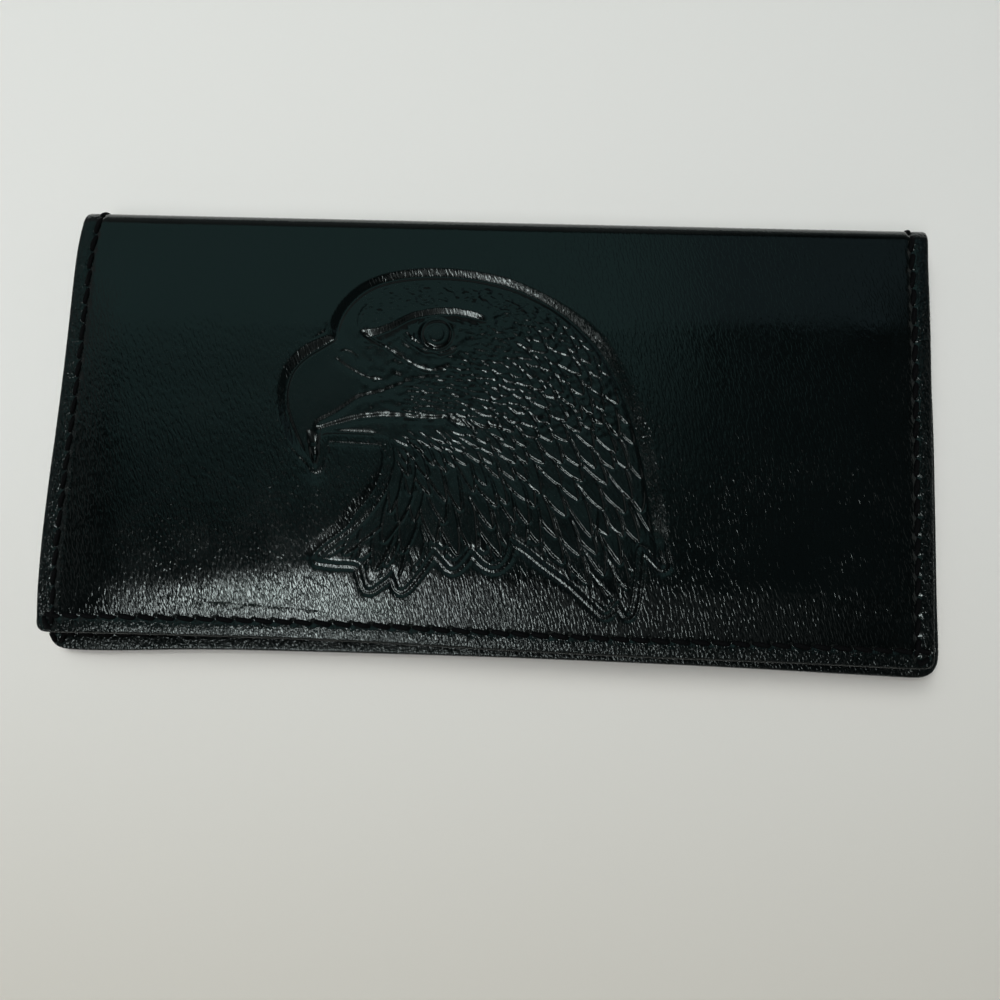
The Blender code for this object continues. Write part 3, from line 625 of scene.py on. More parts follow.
def seam_dip(line, x, t):
    """How far the thread pulls the leather in along a seam."""
    x, t = np.asarray(x, float), np.asarray(t, float)
    out = np.zeros(x.shape)
    lo, hi = line["path"].min(0) + 6.0, line["path"].max(0) - 6.0
    near = (x < lo[0]) | (x > hi[0]) | (t < lo[1])
    if not near.any():
        return out
    px, pt = x[near], t[near]
    coarse = line["path"][::3]
    if (line["path"][-1] != coarse[-1]).any():
        coarse = np.vstack([coarse, line["path"][-1:]])
    d, side, along = to_line(px, pt, coarse)
    dip = 0.15 * np.exp(-(d / 0.60) ** 2)
    u = along * line["s"][-1]
    step = line["holes"][1]
    to_hole = (u / step - np.round(u / step)) * step
    dip += 0.30 * np.exp(-(to_hole / 0.50) ** 2 - (d / 0.50) ** 2)
    out[near] = dip
    return out


def stitches(name, line, level, place, mat, radius=0.50, skip=None, flip=1.0):
    """One strand from each hole to the next, with its ends down in the holes."""
    rng = np.random.RandomState(len(name) * 7 + 3)
    rest, faces = [], []
    sides, along_n = 8, 9
    path, s, holes = line["path"], line["s"], line["holes"]
    for i in range(len(holes) - 1):
        a, b = holes[i] + 0.10, holes[i + 1] - 0.10
        u = np.linspace(0, 1, along_n)
        pos = a + (b - a) * u
        cx, ct = np.interp(pos, s, path[:, 0]), np.interp(pos, s, path[:, 1])
        e = 0.05
        dx = np.interp(pos + e, s, path[:, 0]) - np.interp(pos - e, s, path[:, 0])
        dt = np.interp(pos + e, s, path[:, 1]) - np.interp(pos - e, s, path[:, 1])
        m = np.hypot(dx, dt)
        nx, nt = -dt / m, dx / m
        slant = -(0.26 + 0.06 * rng.uniform(-1, 1)) * (2 * u - 1)
        cx, ct = cx + nx * slant, ct + nt * slant
        if skip is not None and skip(cx[along_n // 2], ct[along_n // 2]):
            continue
        arch = np.maximum(np.sin(math.pi * u), 0) ** 0.42
        base = level(cx, ct)
        depth = 0.46 - arch * (0.58 + 0.05 * rng.uniform(-1, 1))
        r = radius * (0.72 + 0.28 * arch) * (1 + 0.05 * rng.uniform(-1, 1))
        first = sum(len(q) for q in rest)
        for k in range(along_n):
            th = 2 * math.pi * np.arange(sides) / sides
            ring = np.stack([cx[k] + nx[k] * r[k] * np.cos(th), ct[k] + nt[k] * r[k] * np.cos(th),
                             base[k] + flip * (depth[k] + 0.78 * r[k] * np.sin(th))], 1)
            rest.append(ring)
        for k in range(along_n - 1):
            for q in range(sides):
                p = (q + 1) % sides
                faces.append((first + k * sides + q, first + k * sides + p,
                              first + (k + 1) * sides + p, first + (k + 1) * sides + q))
        faces.append(tuple(first + q for q in range(sides))[::-1])
        faces.append(tuple(first + (along_n - 1) * sides + q for q in range(sides)))
    return new_mesh(name, np.vstack(rest), faces, place, [mat])


# ================================================================ materials
def leather(name, base, rough, grain=0.066, tint=(0.55, 1.0, 1.04), edge=False):
    mat = bpy.data.materials.new(name)
    mat.use_nodes = True
    nodes, links = mat.node_tree.nodes, mat.node_tree.links
    shader = nodes["Principled BSDF"]
    where = nodes.new("ShaderNodeAttribute")
    where.attribute_name = "rest"

    def noise(scale, detail=2.0, roughness=0.5, distortion=0.0, squeeze=None, turn=0.0):
        vector = where.outputs["Vector"]
        if turn:
            turned = nodes.new("ShaderNodeVectorRotate")
            turned.rotation_type = "Z_AXIS"
            turned.inputs["Angle"].default_value = turn
            links.new(vector, turned.inputs["Vector"])
            vector = turned.outputs["Vector"]
        mapping = nodes.new("ShaderNodeMapping")
        mapping.inputs["Scale"].default_value = squeeze or (1.0, 1.0, 1.0)
        links.new(vector, mapping.inputs["Vector"])
        tex = nodes.new("ShaderNodeTexNoise")
        tex.inputs["Scale"].default_value = scale
        tex.inputs["Detail"].default_value = detail
        tex.inputs["Roughness"].default_value = roughness
        tex.inputs["Distortion"].default_value = distortion
        links.new(mapping.outputs["Vector"], tex.inputs["Vector"])
        return tex.outputs["Fac"]

    def ramp(value, low, high, a, b):
        node = nodes.new("ShaderNodeMapRange")
        node.interpolation_type = "SMOOTHSTEP"
        node.inputs["From Min"].default_value = low
        node.inputs["From Max"].default_value = high
        node.inputs["To Min"].default_value = a
        node.inputs["To Max"].default_value = b
        links.new(value, node.inputs["Value"])
        return node.outputs["Result"]

    def maths(kind, a, b):
        node = nodes.new("ShaderNodeMath")
        node.operation = kind
        for socket, value in zip(node.inputs, (a, b)):
            if isinstance(value, (int, float)):
                socket.default_value = value
            else:
                links.new(value, socket)
        return node.outputs["Value"]

    cloud = noise(0.045, 3.0, 0.55)
    mix = nodes.new("ShaderNodeMix")
    mix.data_type = "RGBA"
    mix.inputs["A"].default_value = (base * 0.72 * tint[0], base * 0.72 * tint[1], base * 0.72 * tint[2], 1.0)
    mix.inputs["B"].default_value = (base * 1.35 * tint[0], base * 1.30 * tint[1], base * 1.28 * tint[2], 1.0)
    links.new(cloud, mix.inputs["Factor"])
    links.new(mix.outputs["Result"], shader.inputs["Base Color"])

    press = nodes.new("ShaderNodeAttribute")
    press.attribute_name = "press"
    smooth_part = maths("SUBTRACT", 1.0, maths("MULTIPLY", press.outputs["Fac"], 0.72))

    patch = noise(0.11, 2.0, 0.5)
    fine = noise(1.9, 2.0, 0.6)
    r = maths("ADD", ramp(patch, 0.3, 0.7, rough - 0.035, rough + 0.035), ramp(fine, 0.3, 0.7, -0.03, 0.03))
    links.new(maths("ADD", r, maths("MULTIPLY", press.outputs["Fac"], 0.02)), shader.inputs["Roughness"])
    shader.inputs["Specular IOR Level"].default_value = 0.25 if edge else 0.5
    shader.inputs["IOR"].default_value = 1.50
    shader.inputs["Specular Tint"].default_value = (0.88, 1.0, 0.98, 1.0)

    if edge:
        height = maths("ADD", maths("MULTIPLY", noise(3.2, 3.0, 0.7, 0.4), 1.0), maths("MULTIPLY", noise(0.9, 2.0), 0.7))
        distance = 0.16
    else:
        # short creases, side by side and slightly slanting, as in boarded leather
        wrinkle = ramp(noise(1.0, 0.5, 0.4, 0.10, (2.80, 0.74, 1.0), math.radians(-16)), 0.36, 0.58, 0.0, 0.42)
        second = noise(1.0, 0.0, 0.5, 0.1, (4.2, 1.10, 1.0), math.radians(-20))
        pores = noise(1.0, 1.0, 0.5, 0.2, (5.5, 4.0, 1.0), math.radians(8))
        place = nodes.new("ShaderNodeSeparateXYZ")
        links.new(where.outputs["Vector"], place.inputs["Vector"])
        worn = maths("MULTIPLY", ramp(place.outputs["X"], 0.0, 70.0, 1.0, 0.72), ramp(place.outputs["X"], -80.0, -58.0, 0.75, 1.0))
        worn = maths("MULTIPLY", worn, ramp(place.outputs["Y"], -31.0, -20.0, 1.15, 1.05))
        worn = maths("MULTIPLY", worn, ramp(place.outputs["Y"], -10.0, 28.0, 1.0, 0.50))
        strength = maths("MULTIPLY", ramp(noise(0.06, 2.0, 0.5), 0.32, 0.68, 0.70, 1.15), worn)
        grained = maths("ADD", maths("ADD", wrinkle, maths("MULTIPLY", second, 0.40)), maths("MULTIPLY", pores, 0.03))
        height = maths("MULTIPLY", grained, maths("MULTIPLY", strength, smooth_part))
        # round pebbles past the seam, where nothing has pressed the leather flat
        outer = maths("MAXIMUM", ramp(place.outputs["Y"], -37.7, -36.9, 1.0, 0.0), ramp(place.outputs["X"], -81.2, -80.4, 1.0, 0.0))
        outer = maths("MAXIMUM", outer, ramp(place.outputs["X"], 79.3, 80.1, 0.0, 1.0))
        pebble = ramp(noise(1.0, 1.0, 0.5, 0.3, (2.1, 1.5, 1.0), math.radians(-25)), 0.36, 0.64, 0.0, 1.0)
        height = maths("ADD", height, maths("MULTIPLY", pebble, maths("MULTIPLY", outer, 0.80)))
        distance = grain
    bump = nodes.new("ShaderNodeBump")
    bump.inputs["Strength"].default_value = 1.0
    bump.inputs["Distance"].default_value = distance * MM
    links.new(height, bump.inputs["Height"])
    links.new(bump.outputs["Normal"], shader.inputs["Normal"])
    return mat


def cloth(name, color, rough, scale=2.2, depth=0.08, sheen=0.15, stripes=False):
    """Woven lining, or twisted thread when stripes is set."""
    mat = bpy.data.materials.new(name)
    mat.use_nodes = True
    nodes, links = mat.node_tree.nodes, mat.node_tree.links
    shader = nodes["Principled BSDF"]
    where = nodes.new("ShaderNodeAttribute")
    where.attribute_name = "rest"
    waves = []
    for direction, turn in (("X", 0.0), ("Y", 0.0)):
        wave = nodes.new("ShaderNodeTexWave")
        wave.wave_type = "BANDS"
        wave.bands_direction = "DIAGONAL" if stripes else direction
        wave.inputs["Scale"].default_value = scale
        wave.inputs["Distortion"].default_value = 0.4
        wave.inputs["Detail"].default_value = 1.0
        links.new(where.outputs["Vector"], wave.inputs["Vector"])
        waves.append(wave.outputs["Fac"])
    node = nodes.new("ShaderNodeMath")
    node.operation = "MAXIMUM"
    links.new(waves[0], node.inputs[0])
    links.new(waves[1], node.inputs[1])
    noise = nodes.new("ShaderNodeTexNoise")
    noise.inputs["Scale"].default_value = 0.8
    noise.inputs["Detail"].default_value = 3.0
    links.new(where.outputs["Vector"], noise.inputs["Vector"])
    mix = nodes.new("ShaderNodeMix")
    mix.data_type = "RGBA"
    mix.inputs["A"].default_value = (*[c * 0.7 for c in color], 1.0)
    mix.inputs["B"].default_value = (*[c * 1.4 for c in color], 1.0)
    links.new(noise.outputs["Fac"], mix.inputs["Factor"])
    links.new(mix.outputs["Result"], shader.inputs["Base Color"])
    shader.inputs["Roughness"].default_value = rough
    shader.inputs["Sheen Weight"].default_value = sheen
    shader.inputs["Sheen Roughness"].default_value = 0.5
    shader.inputs["Specular IOR Level"].default_value = 0.10 if stripes else 0.3
    bump = nodes.new("ShaderNodeBump")
    bump.inputs["Strength"].default_value = 1.0
    bump.inputs["Distance"].default_value = depth * MM
    links.new(node.outputs["Value"], bump.inputs["Height"])
    links.new(bump.outputs["Normal"], shader.inputs["Normal"])
    return mat


strap_mat = leather("outer_leather", 0.0014, 0.138)
edge_mat = leather("cut_edge", 0.0016, 0.50, edge=True)
pocket_mat = leather("pocket_leather", 0.0020, 0.20, grain=0.062)
pocket_edge = leather("pocket_cut_edge", 0.0022, 0.50, edge=True)
lining_mat = cloth("lining_cloth", (0.0075, 0.0078, 0.0085), 0.82)
thread_mat = cloth("seam_thread_fibre", (0.0016, 0.0017, 0.0020), 0.72, scale=1.6, depth=0.06, sheen=0.0, stripes=True)


# ================================================================ outer leather
RIM = [(0.50, 0.0), (0.20, 0.06), (0.04, 0.28), (0.0, 0.75), (0.02, 1.20), (0.16, 1.50), (0.40, COVER_T)]
RIM_FACE = [False, True, True, True, True, False]


def cut_ring(path, nrm, d, cut_points):
    ring = path + nrm * d
    ring[0, 1] = ring[-1, 1] = T_MID
    u = np.linspace(0, 1, cut_points + 2)[1:-1, None]
    return np.vstack([ring, ring[-1] * (1 - u) + ring[0] * u])


def bend_rows(x0, x1, t0, step_t, step_x):
    rows = []
    n = int(math.ceil((T_MID - t0) / step_t))
    for j in range(n):
        t = t0 + (T_MID - t0) * j / n
        xs = np.arange(x0 + (step_x / 2 if j % 2 else 0), x1, step_x)
        rows.append(np.stack([xs, np.full(len(xs), t)], 1))
    return np.vstack(rows)


def seam_rows(line, offsets, step):
    rows = []
    for k, d in enumerate(offsets):
        path = resample(line["path"], step)
        nrm = normals(path)
        moved = path + nrm * d
        moved = moved[(k % 2)::1]
        rows.append(moved)
    pts = np.vstack(rows)
    return pts


def swell(x, t, sides_x, low, height, reach):
    """Soft fullness between the sewn edges."""
    left, right = sides_x
    e = (1 - np.exp(-np.maximum(x - left, 0) / reach)) * (1 - np.exp(-np.maximum(right - x, 0) / reach))
    e = e * (1 - np.exp(-np.maximum(t - low, 0) / reach))
    return height * e * (1 - smooth((t - 22) / 20))


def drift(x, t, seed, amount):
    """Slow unevenness of soft leather."""
    rng = np.random.RandomState(seed)
    out = np.zeros(np.shape(x))
    for wave in (62.0, 41.0, 27.0, 17.0):
        a = rng.uniform(0, 2 * math.pi)
        p = rng.uniform(0, 2 * math.pi)
        out = out + amount * (wave / 62.0) ** 1.1 * np.sin((x * math.cos(a) + t * math.sin(a)) * 2 * math.pi / wave + p)
    return out


def roll(d, start, width, angle):
    """Height gained over distance d from an edge where the leather turns down by an angle."""
    grid = np.linspace(0, 60, 601)
    slope = math.tan(math.radians(angle)) * (1 - smooth((grid - start) / width))
    height = np.concatenate([[0], np.cumsum((slope[1:] + slope[:-1]) / 2 * np.diff(grid))])
    return np.interp(d, grid, height)


TOOLED = [(-58.5, -32.9), (-50.0, -33.2), (-40.0, -33.7), (-27.0, -34.3)]


def flap_up(x, t):
    """Height of the flap's outer face above its plain plane."""
    x, t = np.asarray(x, float), np.asarray(t, float)
    sides = np.minimum(x + 85.3, 82.3 - x)
    low = t + 40.6 + 0.3 * np.sin(x * 0.07) - 0.11 * np.clip(x + 48, -34, 16) + 0.02 * np.clip(x + 32, 0, 60)
    up = roll(low, 11.2, 3.2, 4.4) * (0.35 + 0.65 * smooth(sides / 14))
    up = up + roll(np.clip(82.3 - x, 0, None), 1.0, 7.0, 1.8) * smooth((low + 2) / 14) + roll(np.clip(x + 85.3, 0, None), 6.0, 14.0, 4.6) - 0.55
    up = up + 0.085 * np.clip(3.4 - (t + 40.2), 0, 3.4) * smooth((-38 - x) / 14)      # level again beyond the seam
    up = up * (1 - smooth((t - 20) / 23))
    up = up + drift(x, t, 5, 0.05) * smooth((44 - t) / 12)
    up = up + look_up(figure_h, x, t)
    d, side, along = to_line(x, t, spline(TOOLED, 6))
    up = up - 0.055 * (1 + 0.5 * np.sin(1.1 * x)) * np.exp(-(d / 0.34) ** 2) * smooth(along / 0.3) * smooth((1 - along) / 0.2)
    return up - seam_dip(flap_seam, x, t)


def flap_press(x, t, z):
    """Where the stamp has flattened the grain: inside the figure, less on its brow and tips."""
    x, t = np.asarray(x, float), np.asarray(t, float)
    press = np.clip((look_up(figure_s, x, t, -9.0) + 0.25) / 0.6, 0, 1)
    d, side, along = to_line(x, t, spline(BROW, 4))
    press = press * (1 - 0.8 * np.exp(-(d / 1.1) ** 2)) * (1 - 0.7 * smooth((-20.5 - t) / 3.0))
    s = look_up(figure_s, x, t, -9.0)
    press = press - 0.8 * smooth((s + 4.2) / 1.5) * smooth((-0.3 - s) / 0.6) * (0.35 * smooth((t + 24) / 8) + 0.65 * smooth((t + 2) / 6)) * smooth((x + 38 - t) / 8)
    return press * (z < 0.9)


def flap_points():
    """Where the flap's face needs points: fine in the figure, coarse where it is plain."""
    curve = np.abs(figure_h[1:-1, 1:-1] * 4 - figure_h[:-2, 1:-1] - figure_h[2:, 1:-1] - figure_h[1:-1, :-2] - figure_h[1:-1, 2:])
    busy = np.zeros(figure_h.shape)
    busy[1:-1, 1:-1] = curve
    busy = blur(busy, 2.0)
    fine = lattice(-44.0, 37.0, -37.5, 35.5, FINE)
    s = look_up(figure_s, fine[:, 0], fine[:, 1], -99.0)
    b = look_up(busy, fine[:, 0], fine[:, 1])
    active = (b > 0.0030) & (s > -3.4)
    mid = lattice(-44.3, 37.0, -37.5, 35.5, FINE * 2)
    sm = look_up(figure_s, mid[:, 0], mid[:, 1], -99.0)
    wide = lattice(-46.5, 39.0, -38.0, 36.8, FINE * 4)
    sw = look_up(figure_s, wide[:, 0], wide[:, 1], -99.0)
    fine = fine[active]
    mid = apart(mid[sm > -4.2], fine, FINE * 0.9)
    wide = apart(wide[sw > -7.5], np.vstack([fine, mid]), FINE * 2.2)
    return np.vstack([fine, mid, wide])


FINE = 0.2
path = free_path(FLAP_SIDES, 0.0, 2.0, 2.2, 0.8)
nrm = normals(path)
CUT = 84
rings = [cut_ring(path, nrm, d, CUT) for d, z in RIM]
face_up = flap_up(rings[0][:, 0], rings[0][:, 1])
levels = [z - face_up * (1 - z / COVER_T) for d, z in RIM]
seam_pts = seam_rows(flap_seam, (-1.5, -0.95, -0.6, -0.3, 0.0, 0.3, 0.6, 0.95, 1.5), 0.34)
seam_pts = seam_pts[seam_pts[:, 1] < T_MID - 0.25]
seam_pts = well_inside(seam_pts, rings[0], 0.22)
bend_pts = apart(well_inside(bend_rows(-84, 83, 37.0, 0.42, 1.6), rings[0], 0.3), seam_pts, 0.45)
figure_pts = flap_points()
tool_line = resample(spline(TOOLED, 6), 0.6)
tool_pts = np.vstack([tool_line + normals(tool_line) * 0 + np.array([0.0, d]) for d in (-0.6, -0.3, 0.0, 0.3, 0.6)])
seam_pts = np.vstack([seam_pts, tool_pts])
figure_pts = apart(figure_pts, seam_pts, 0.25)
others = np.vstack([seam_pts, bend_pts, figure_pts])
plain_pts = apart(well_inside(lattice(-84, 82, -40, 36.6, 1.7), rings[0], 0.6), others, 1.0)
top = np.vstack([others, plain_pts])
low = apart(well_inside(lattice(-84, 82, -39, 36.6, 5.0), rings[-1], 1.5), bend_pts, 1.5)
low = np.vstack([low, well_inside(bend_rows(-84, 83, 38.0, 0.6, 3.0), rings[-1], 0.5)])
leather_front = ring_solid("leather_front", rings, levels, top, lambda x, t: -flap_up(x, t),
                           low, lambda x, t: np.full(np.shape(x), COVER_T), on_front, [strap_mat, edge_mat],
                           RIM_FACE, flap_press, T_MID)


def back_up(x, t):
    x, t = np.asarray(x, float), np.asarray(t, float)
    return -seam_dip(back_seam, x, t) * smooth((t + 100) / 1)


path = free_path(BACK_SIDES, 0.0, 4.6, 5.0, 0.9)
nrm = normals(path)
rings = [cut_ring(path, nrm, d, CUT) for d, z in RIM]
face_up = back_up(rings[0][:, 0], rings[0][:, 1])
levels = [z - face_up * (1 - z / COVER_T) for d, z in RIM]
seam_pts = seam_rows(back_seam, (-1.4, -0.8, -0.4, 0.0, 0.4, 0.8, 1.4), 0.42)
seam_pts = seam_pts[seam_pts[:, 1] < T_MID - 0.25]
seam_pts = well_inside(seam_pts, rings[0], 0.22)
bend_pts = apart(well_inside(bend_rows(-84, 83, 37.0, 0.42, 1.6), rings[0], 0.3), seam_pts, 0.45)
others = np.vstack([seam_pts, bend_pts])
plain_pts = apart(well_inside(lattice(-85, 86, -43, 36.6, 2.6), rings[0], 0.6), others, 1.2)
top = np.vstack([others, plain_pts])
low = np.vstack([apart(well_inside(lattice(-84, 85, -42, 36.6, 5.0), rings[-1], 1.5), bend_pts, 1.5),
                 well_inside(bend_rows(-84, 83, 38.0, 0.6, 3.0), rings[-1], 0.5)])
leather_back = ring_solid("leather_back", rings, levels, top, lambda x, t: -back_up(x, t),
                          low, lambda x, t: np.full(np.shape(x), COVER_T), on_back, [strap_mat, edge_mat],
                          RIM_FACE, None, T_MID)


# ================================================================ threads of the outer seam
thread_front = stitches("thread_front", flap_seam, lambda x, t: -flap_up(x, t) - seam_dip(flap_seam, x, t) + 0.16, on_front, thread_mat)
thread_back = stitches("thread_back", back_seam, lambda x, t: 0.16 + 0 * x, on_back, thread_mat)


# ================================================================ layers inside
def loop_normals(loop):
    d = np.roll(loop, -1, 0) - np.roll(loop, 1, 0)
    d /= np.maximum(np.hypot(d[:, 0], d[:, 1]), 1e-9)[:, None]
    return np.stack([-d[:, 1], d[:, 0]], 1)


def plate(name, loop, outer, thick, place, mats, step=3.0, dip=None, extra=None, edge=0.14):
    """Thin layer with softly rounded edges. outer gives the face nearer the outer leather, dip a relief on the inner face."""
    nrm = loop_normals(loop)
    face = outer if callable(outer) else (lambda x, t: np.full(np.shape(x), float(outer)))
    inner_dip = dip or (lambda x, t: np.zeros(np.shape(x)))
    rings, levels = [], []
    for d, share in ((edge * 1.6, 0.0), (edge * 0.35, 0.10), (0.0, 0.35), (0.0, 0.65), (edge * 0.35, 0.90), (edge * 1.6, 1.0)):
        ring = loop + nrm * d
        rings.append(ring)
        z = face(ring[:, 0], ring[:, 1]) + thick * share
        levels.append(z - (inner_dip(ring[:, 0], ring[:, 1]) if share == 1.0 else 0))
    lo, hi = loop.min(0), loop.max(0)
    pts = well_inside(lattice(lo[0], hi[0], lo[1], hi[1], step), rings[0], step * 0.35)
    inner_pts = pts
    if extra is not None:
        extra = well_inside(extra, rings[-1], 0.25)
        inner_pts = np.vstack([extra, apart(pts, extra, step * 0.4)])
    return ring_solid(name, rings, levels, pts, lambda x, t: face(x, t),
                      inner_pts, lambda x, t: face(x, t) + thick - inner_dip(x, t), place, mats,
                      [False, True, True, True, False])


def edge_at(sides, index, t):
    line = spline(sides[index], 10)
    order = np.argsort(line[:, 1])
    return float(np.interp(t, line[order, 1], line[order, 0]))


def open_loop(sides, r_left, r_right, mouth, inset, mouth_line=None, step=0.9):
    """Closed loop: the three free edges up to the mouth, then the mouth from right to left."""
    path = free_path(sides, inset, r_left, r_right, step)
    n = len(path)
    half = np.arange(n)
    keep = path[:, 1] <= mouth + 1e-9
    path = path[keep]
    xl, xr = edge_at(sides, 0, mouth) + inset, edge_at(sides, 2, mouth) - inset
    top_line = np.array(mouth_line if mouth_line is not None else [(xr, mouth), (xl, mouth)], float)
    top_line[0, 0], top_line[-1, 0] = xr, xl
    top_line = resample(top_line, step)
    return np.vstack([path[path[:, 1] < mouth - step * 0.5], top_line])


NOTCH_HALF, NOTCH_DEPTH, POCKET_MOUTH, PANEL_MOUTH = 13.0, 8.0, 33.0, 35.0
notch_r = (NOTCH_HALF ** 2 + NOTCH_DEPTH ** 2) / (2 * NOTCH_DEPTH)
notch_a = math.asin(NOTCH_HALF / notch_r)
notch = [(notch_r * math.cos(-math.pi / 2 + notch_a * (1 - 2 * k / 24)),
          POCKET_MOUTH - NOTCH_DEPTH + notch_r + notch_r * math.sin(-math.pi / 2 + notch_a * (1 - 2 * k / 24)))
         for k in range(25)]
pocket_line = [(82.0, POCKET_MOUTH)] + notch + [(-82.0, POCKET_MOUTH)]


def crease_dip(lines, depth=0.10, width=0.30):
    """Tooled lines beside the mouths."""
    shapes = [np.array(q, float) for q in lines]

    def dip(x, t):
        out = np.zeros(np.shape(x))
        for q in shapes:
            d, _, _ = to_line(np.asarray(x, float), np.asarray(t, float), q)
            out = out + depth * np.exp(-(d / width) ** 2)
        return out
    return dip


def rows_beside(lines, step=0.8, offsets=(-0.7, -0.35, 0.0, 0.35, 0.7)):
    rows = []
    for q in lines:
        q = resample(np.array(q, float), step)
        n = loop_normals(q)
        n[0], n[-1] = n[1], n[-2]
        for d in offsets:
            rows.append(q + n * d)
    return np.vstack(rows)


def plus(a, b):
    return lambda x, t: a(x, t) + b(x, t)


back_dip = lambda x, t: seam_dip(back_seam, x, t) * 0.8
front_dip = lambda x, t: seam_dip(flap_seam, x, t) * 0.8

# back pocket: full width, thumb notch in its mouth, a tooled line 1.6 mm below the mouth
line = np.array(pocket_line)
shape = np.array([(p[0], p[1] - 1.6) for p in [(81.0, 33.0)] + notch + [(-81.0, 33.0)]])
mouth_tool = [shape]
loop = open_loop(BACK_SIDES, 4.6, 5.0, POCKET_MOUTH, 0.12, pocket_line)
rows = np.vstack([rows_beside(mouth_tool), seam_rows(back_seam, (-1.0, -0.5, 0.0, 0.5, 1.0), 0.5)])
rows = rows[rows[:, 1] < POCKET_MOUTH - 0.4]
press_line = free_path(BACK_SIDES, 0.0, 4.6, 5.0, 1.5)


def press_down(x, t):
    d, _, _ = to_line(np.asarray(x, float), np.asarray(t, float), press_line)
    left = smooth((-62 - np.asarray(x, float)) / 8)
    return (1 - smooth(d / 3.4)) * -0.16 * (1 - left)


edge_rows = np.vstack([free_path(BACK_SIDES, d, 4.6, 5.0, 0.9) for d in (0.75, 1.3, 1.9)])
rows = np.vstack([rows, edge_rows[edge_rows[:, 1] < POCKET_MOUTH - 0.4]])
back_pocket = plate("pocket_back", loop, 2.3, 1.0, on_back, [pocket_mat, pocket_edge],
                    dip=plus(crease_dip(mouth_tool), plus(back_dip, press_down)), extra=apart(rows, loop, 0.4))

# panel behind the cards
panel_tool = [[(81.0, PANEL_MOUTH - 1.6), (-83.0, PANEL_MOUTH - 1.6)]]
loop = open_loop(FLAP_SIDES, 2.0, 2.2, PANEL_MOUTH, 0.12)
rows = np.vstack([rows_beside(panel_tool), seam_rows(flap_seam, (-1.0, -0.5, 0.0, 0.5, 1.0), 0.5)])
rows = rows[rows[:, 1] < PANEL_MOUTH - 0.4]
card_panel = plate("panel_front", loop, 2.3, 1.0, on_front, [pocket_mat, pocket_edge],
                   dip=plus(crease_dip(panel_tool), front_dip), extra=apart(rows, loop, 0.4))

# card slots: each lies on the layers that are under it
COLUMN_X, DIVIDER_X, SLIP_X = 9.2, 10.2, 11.2
PANEL_FACE = 3.3
STEP_UP = 0.60


def slot_level(count_from):
    """Outer face of a slot whose foot passes over the feet of count_from slots."""
    feet = (-20.0, -30.0)

    def level(x, t):
        t = np.asarray(t, float)
        z = PANEL_FACE + 0 * t
        for foot in feet[:count_from]:
            z = z + STEP_UP * smooth((t - foot + 1.6) / 2.4)
        return z
    return level


def column(mouth, foot):
    path = free_path(FLAP_SIDES, 0.12, 2.0, 2.2, 0.9)
    left = path[: len(path) // 2]
    left = left[(left[:, 1] < mouth - 0.4) & (left[:, 0] < -60)]
    if foot is not None:
        left = left[left[:, 1] > foot + 0.4]
        xf = edge_at(FLAP_SIDES, 0, foot) + 0.12
        low_line = resample(np.array([(xf, foot), (COLUMN_X, foot)]), 0.9)
    else:
        low = path[(path[:, 0] >= left[-1, 0]) & (path[:, 0] < COLUMN_X - 0.3) & (path[:, 1] < -38)]
        left = left[left[:, 1] > low[0, 1] + 0.3] if len(low) else left
        full = path[: int(np.argmax(path[:, 0] > COLUMN_X - 0.3))]
        full = full[full[:, 1] < mouth - 0.4]
        foot_t = float(np.interp(COLUMN_X, path[len(path) // 4: 3 * len(path) // 4, 0], path[len(path) // 4: 3 * len(path) // 4, 1]))
        xl = edge_at(FLAP_SIDES, 0, mouth) + 0.12
        side = resample(np.array([(COLUMN_X, foot_t), (COLUMN_X, mouth)]), 0.9)
        mouth_part = resample(np.array([(COLUMN_X, mouth), (xl, mouth)]), 0.9)
        return np.vstack([full, side[:-1], mouth_part])
    xl = edge_at(FLAP_SIDES, 0, mouth) + 0.12
    side = resample(np.array([(COLUMN_X, foot), (COLUMN_X, mouth)]), 0.9)
    mouth_part = resample(np.array([(COLUMN_X, mouth), (xl, mouth)]), 0.9)
    return np.vstack([left, low_line[:-1], side[:-1], mouth_part])


slots = []
for name, mouth, foot, under in (("slot_upper", 26.0, -20.0, 0), ("slot_middle", 16.0, -30.0, 1), ("slot_lower", 6.0, None, 2)):
    tool = [[(COLUMN_X - 0.5, mouth - 1.5), (-83.6, mouth - 1.5)]]
    loop = column(mouth, foot)
    rows = np.vstack([rows_beside(tool), seam_rows(flap_seam, (-1.0, -0.5, 0.0, 0.5, 1.0), 0.5)])
    rows = rows[(rows[:, 0] < COLUMN_X - 0.4) & (rows[:, 1] < mouth - 0.4)]
    slots.append(plate(name, loop, slot_level(under), 0.55, on_front, [pocket_mat, pocket_edge], step=2.4,
                       dip=plus(crease_dip(tool, 0.08), front_dip), extra=apart(rows, loop, 0.35), edge=0.1))

# slip pocket beside them, with a slanted mouth
path = free_path(FLAP_SIDES, 0.12, 2.0, 2.2, 0.9)
tail = path[int(np.argmax(path[:, 0] > SLIP_X + 0.3)):]
xr = edge_at(FLAP_SIDES, 2, 24.0) - 0.12
tail = tail[tail[:, 1] < 23.5]
mouth_part = resample(np.array([(xr, 24.0), (SLIP_X, 14.0)]), 0.9)
foot_t = float(np.interp(SLIP_X, path[len(path) // 4: 3 * len(path) // 4, 0], path[len(path) // 4: 3 * len(path) // 4, 1]))
side = resample(np.array([(SLIP_X, 14.0), (SLIP_X, foot_t)]), 0.9)
loop = np.vstack([tail, mouth_part, side[1:]])
tool = [[(xr - 0.6, 22.3), (SLIP_X + 0.5, 12.4)]]
rows = np.vstack([rows_beside(tool), seam_rows(flap_seam, (-1.0, -0.5, 0.0, 0.5, 1.0), 0.5)])
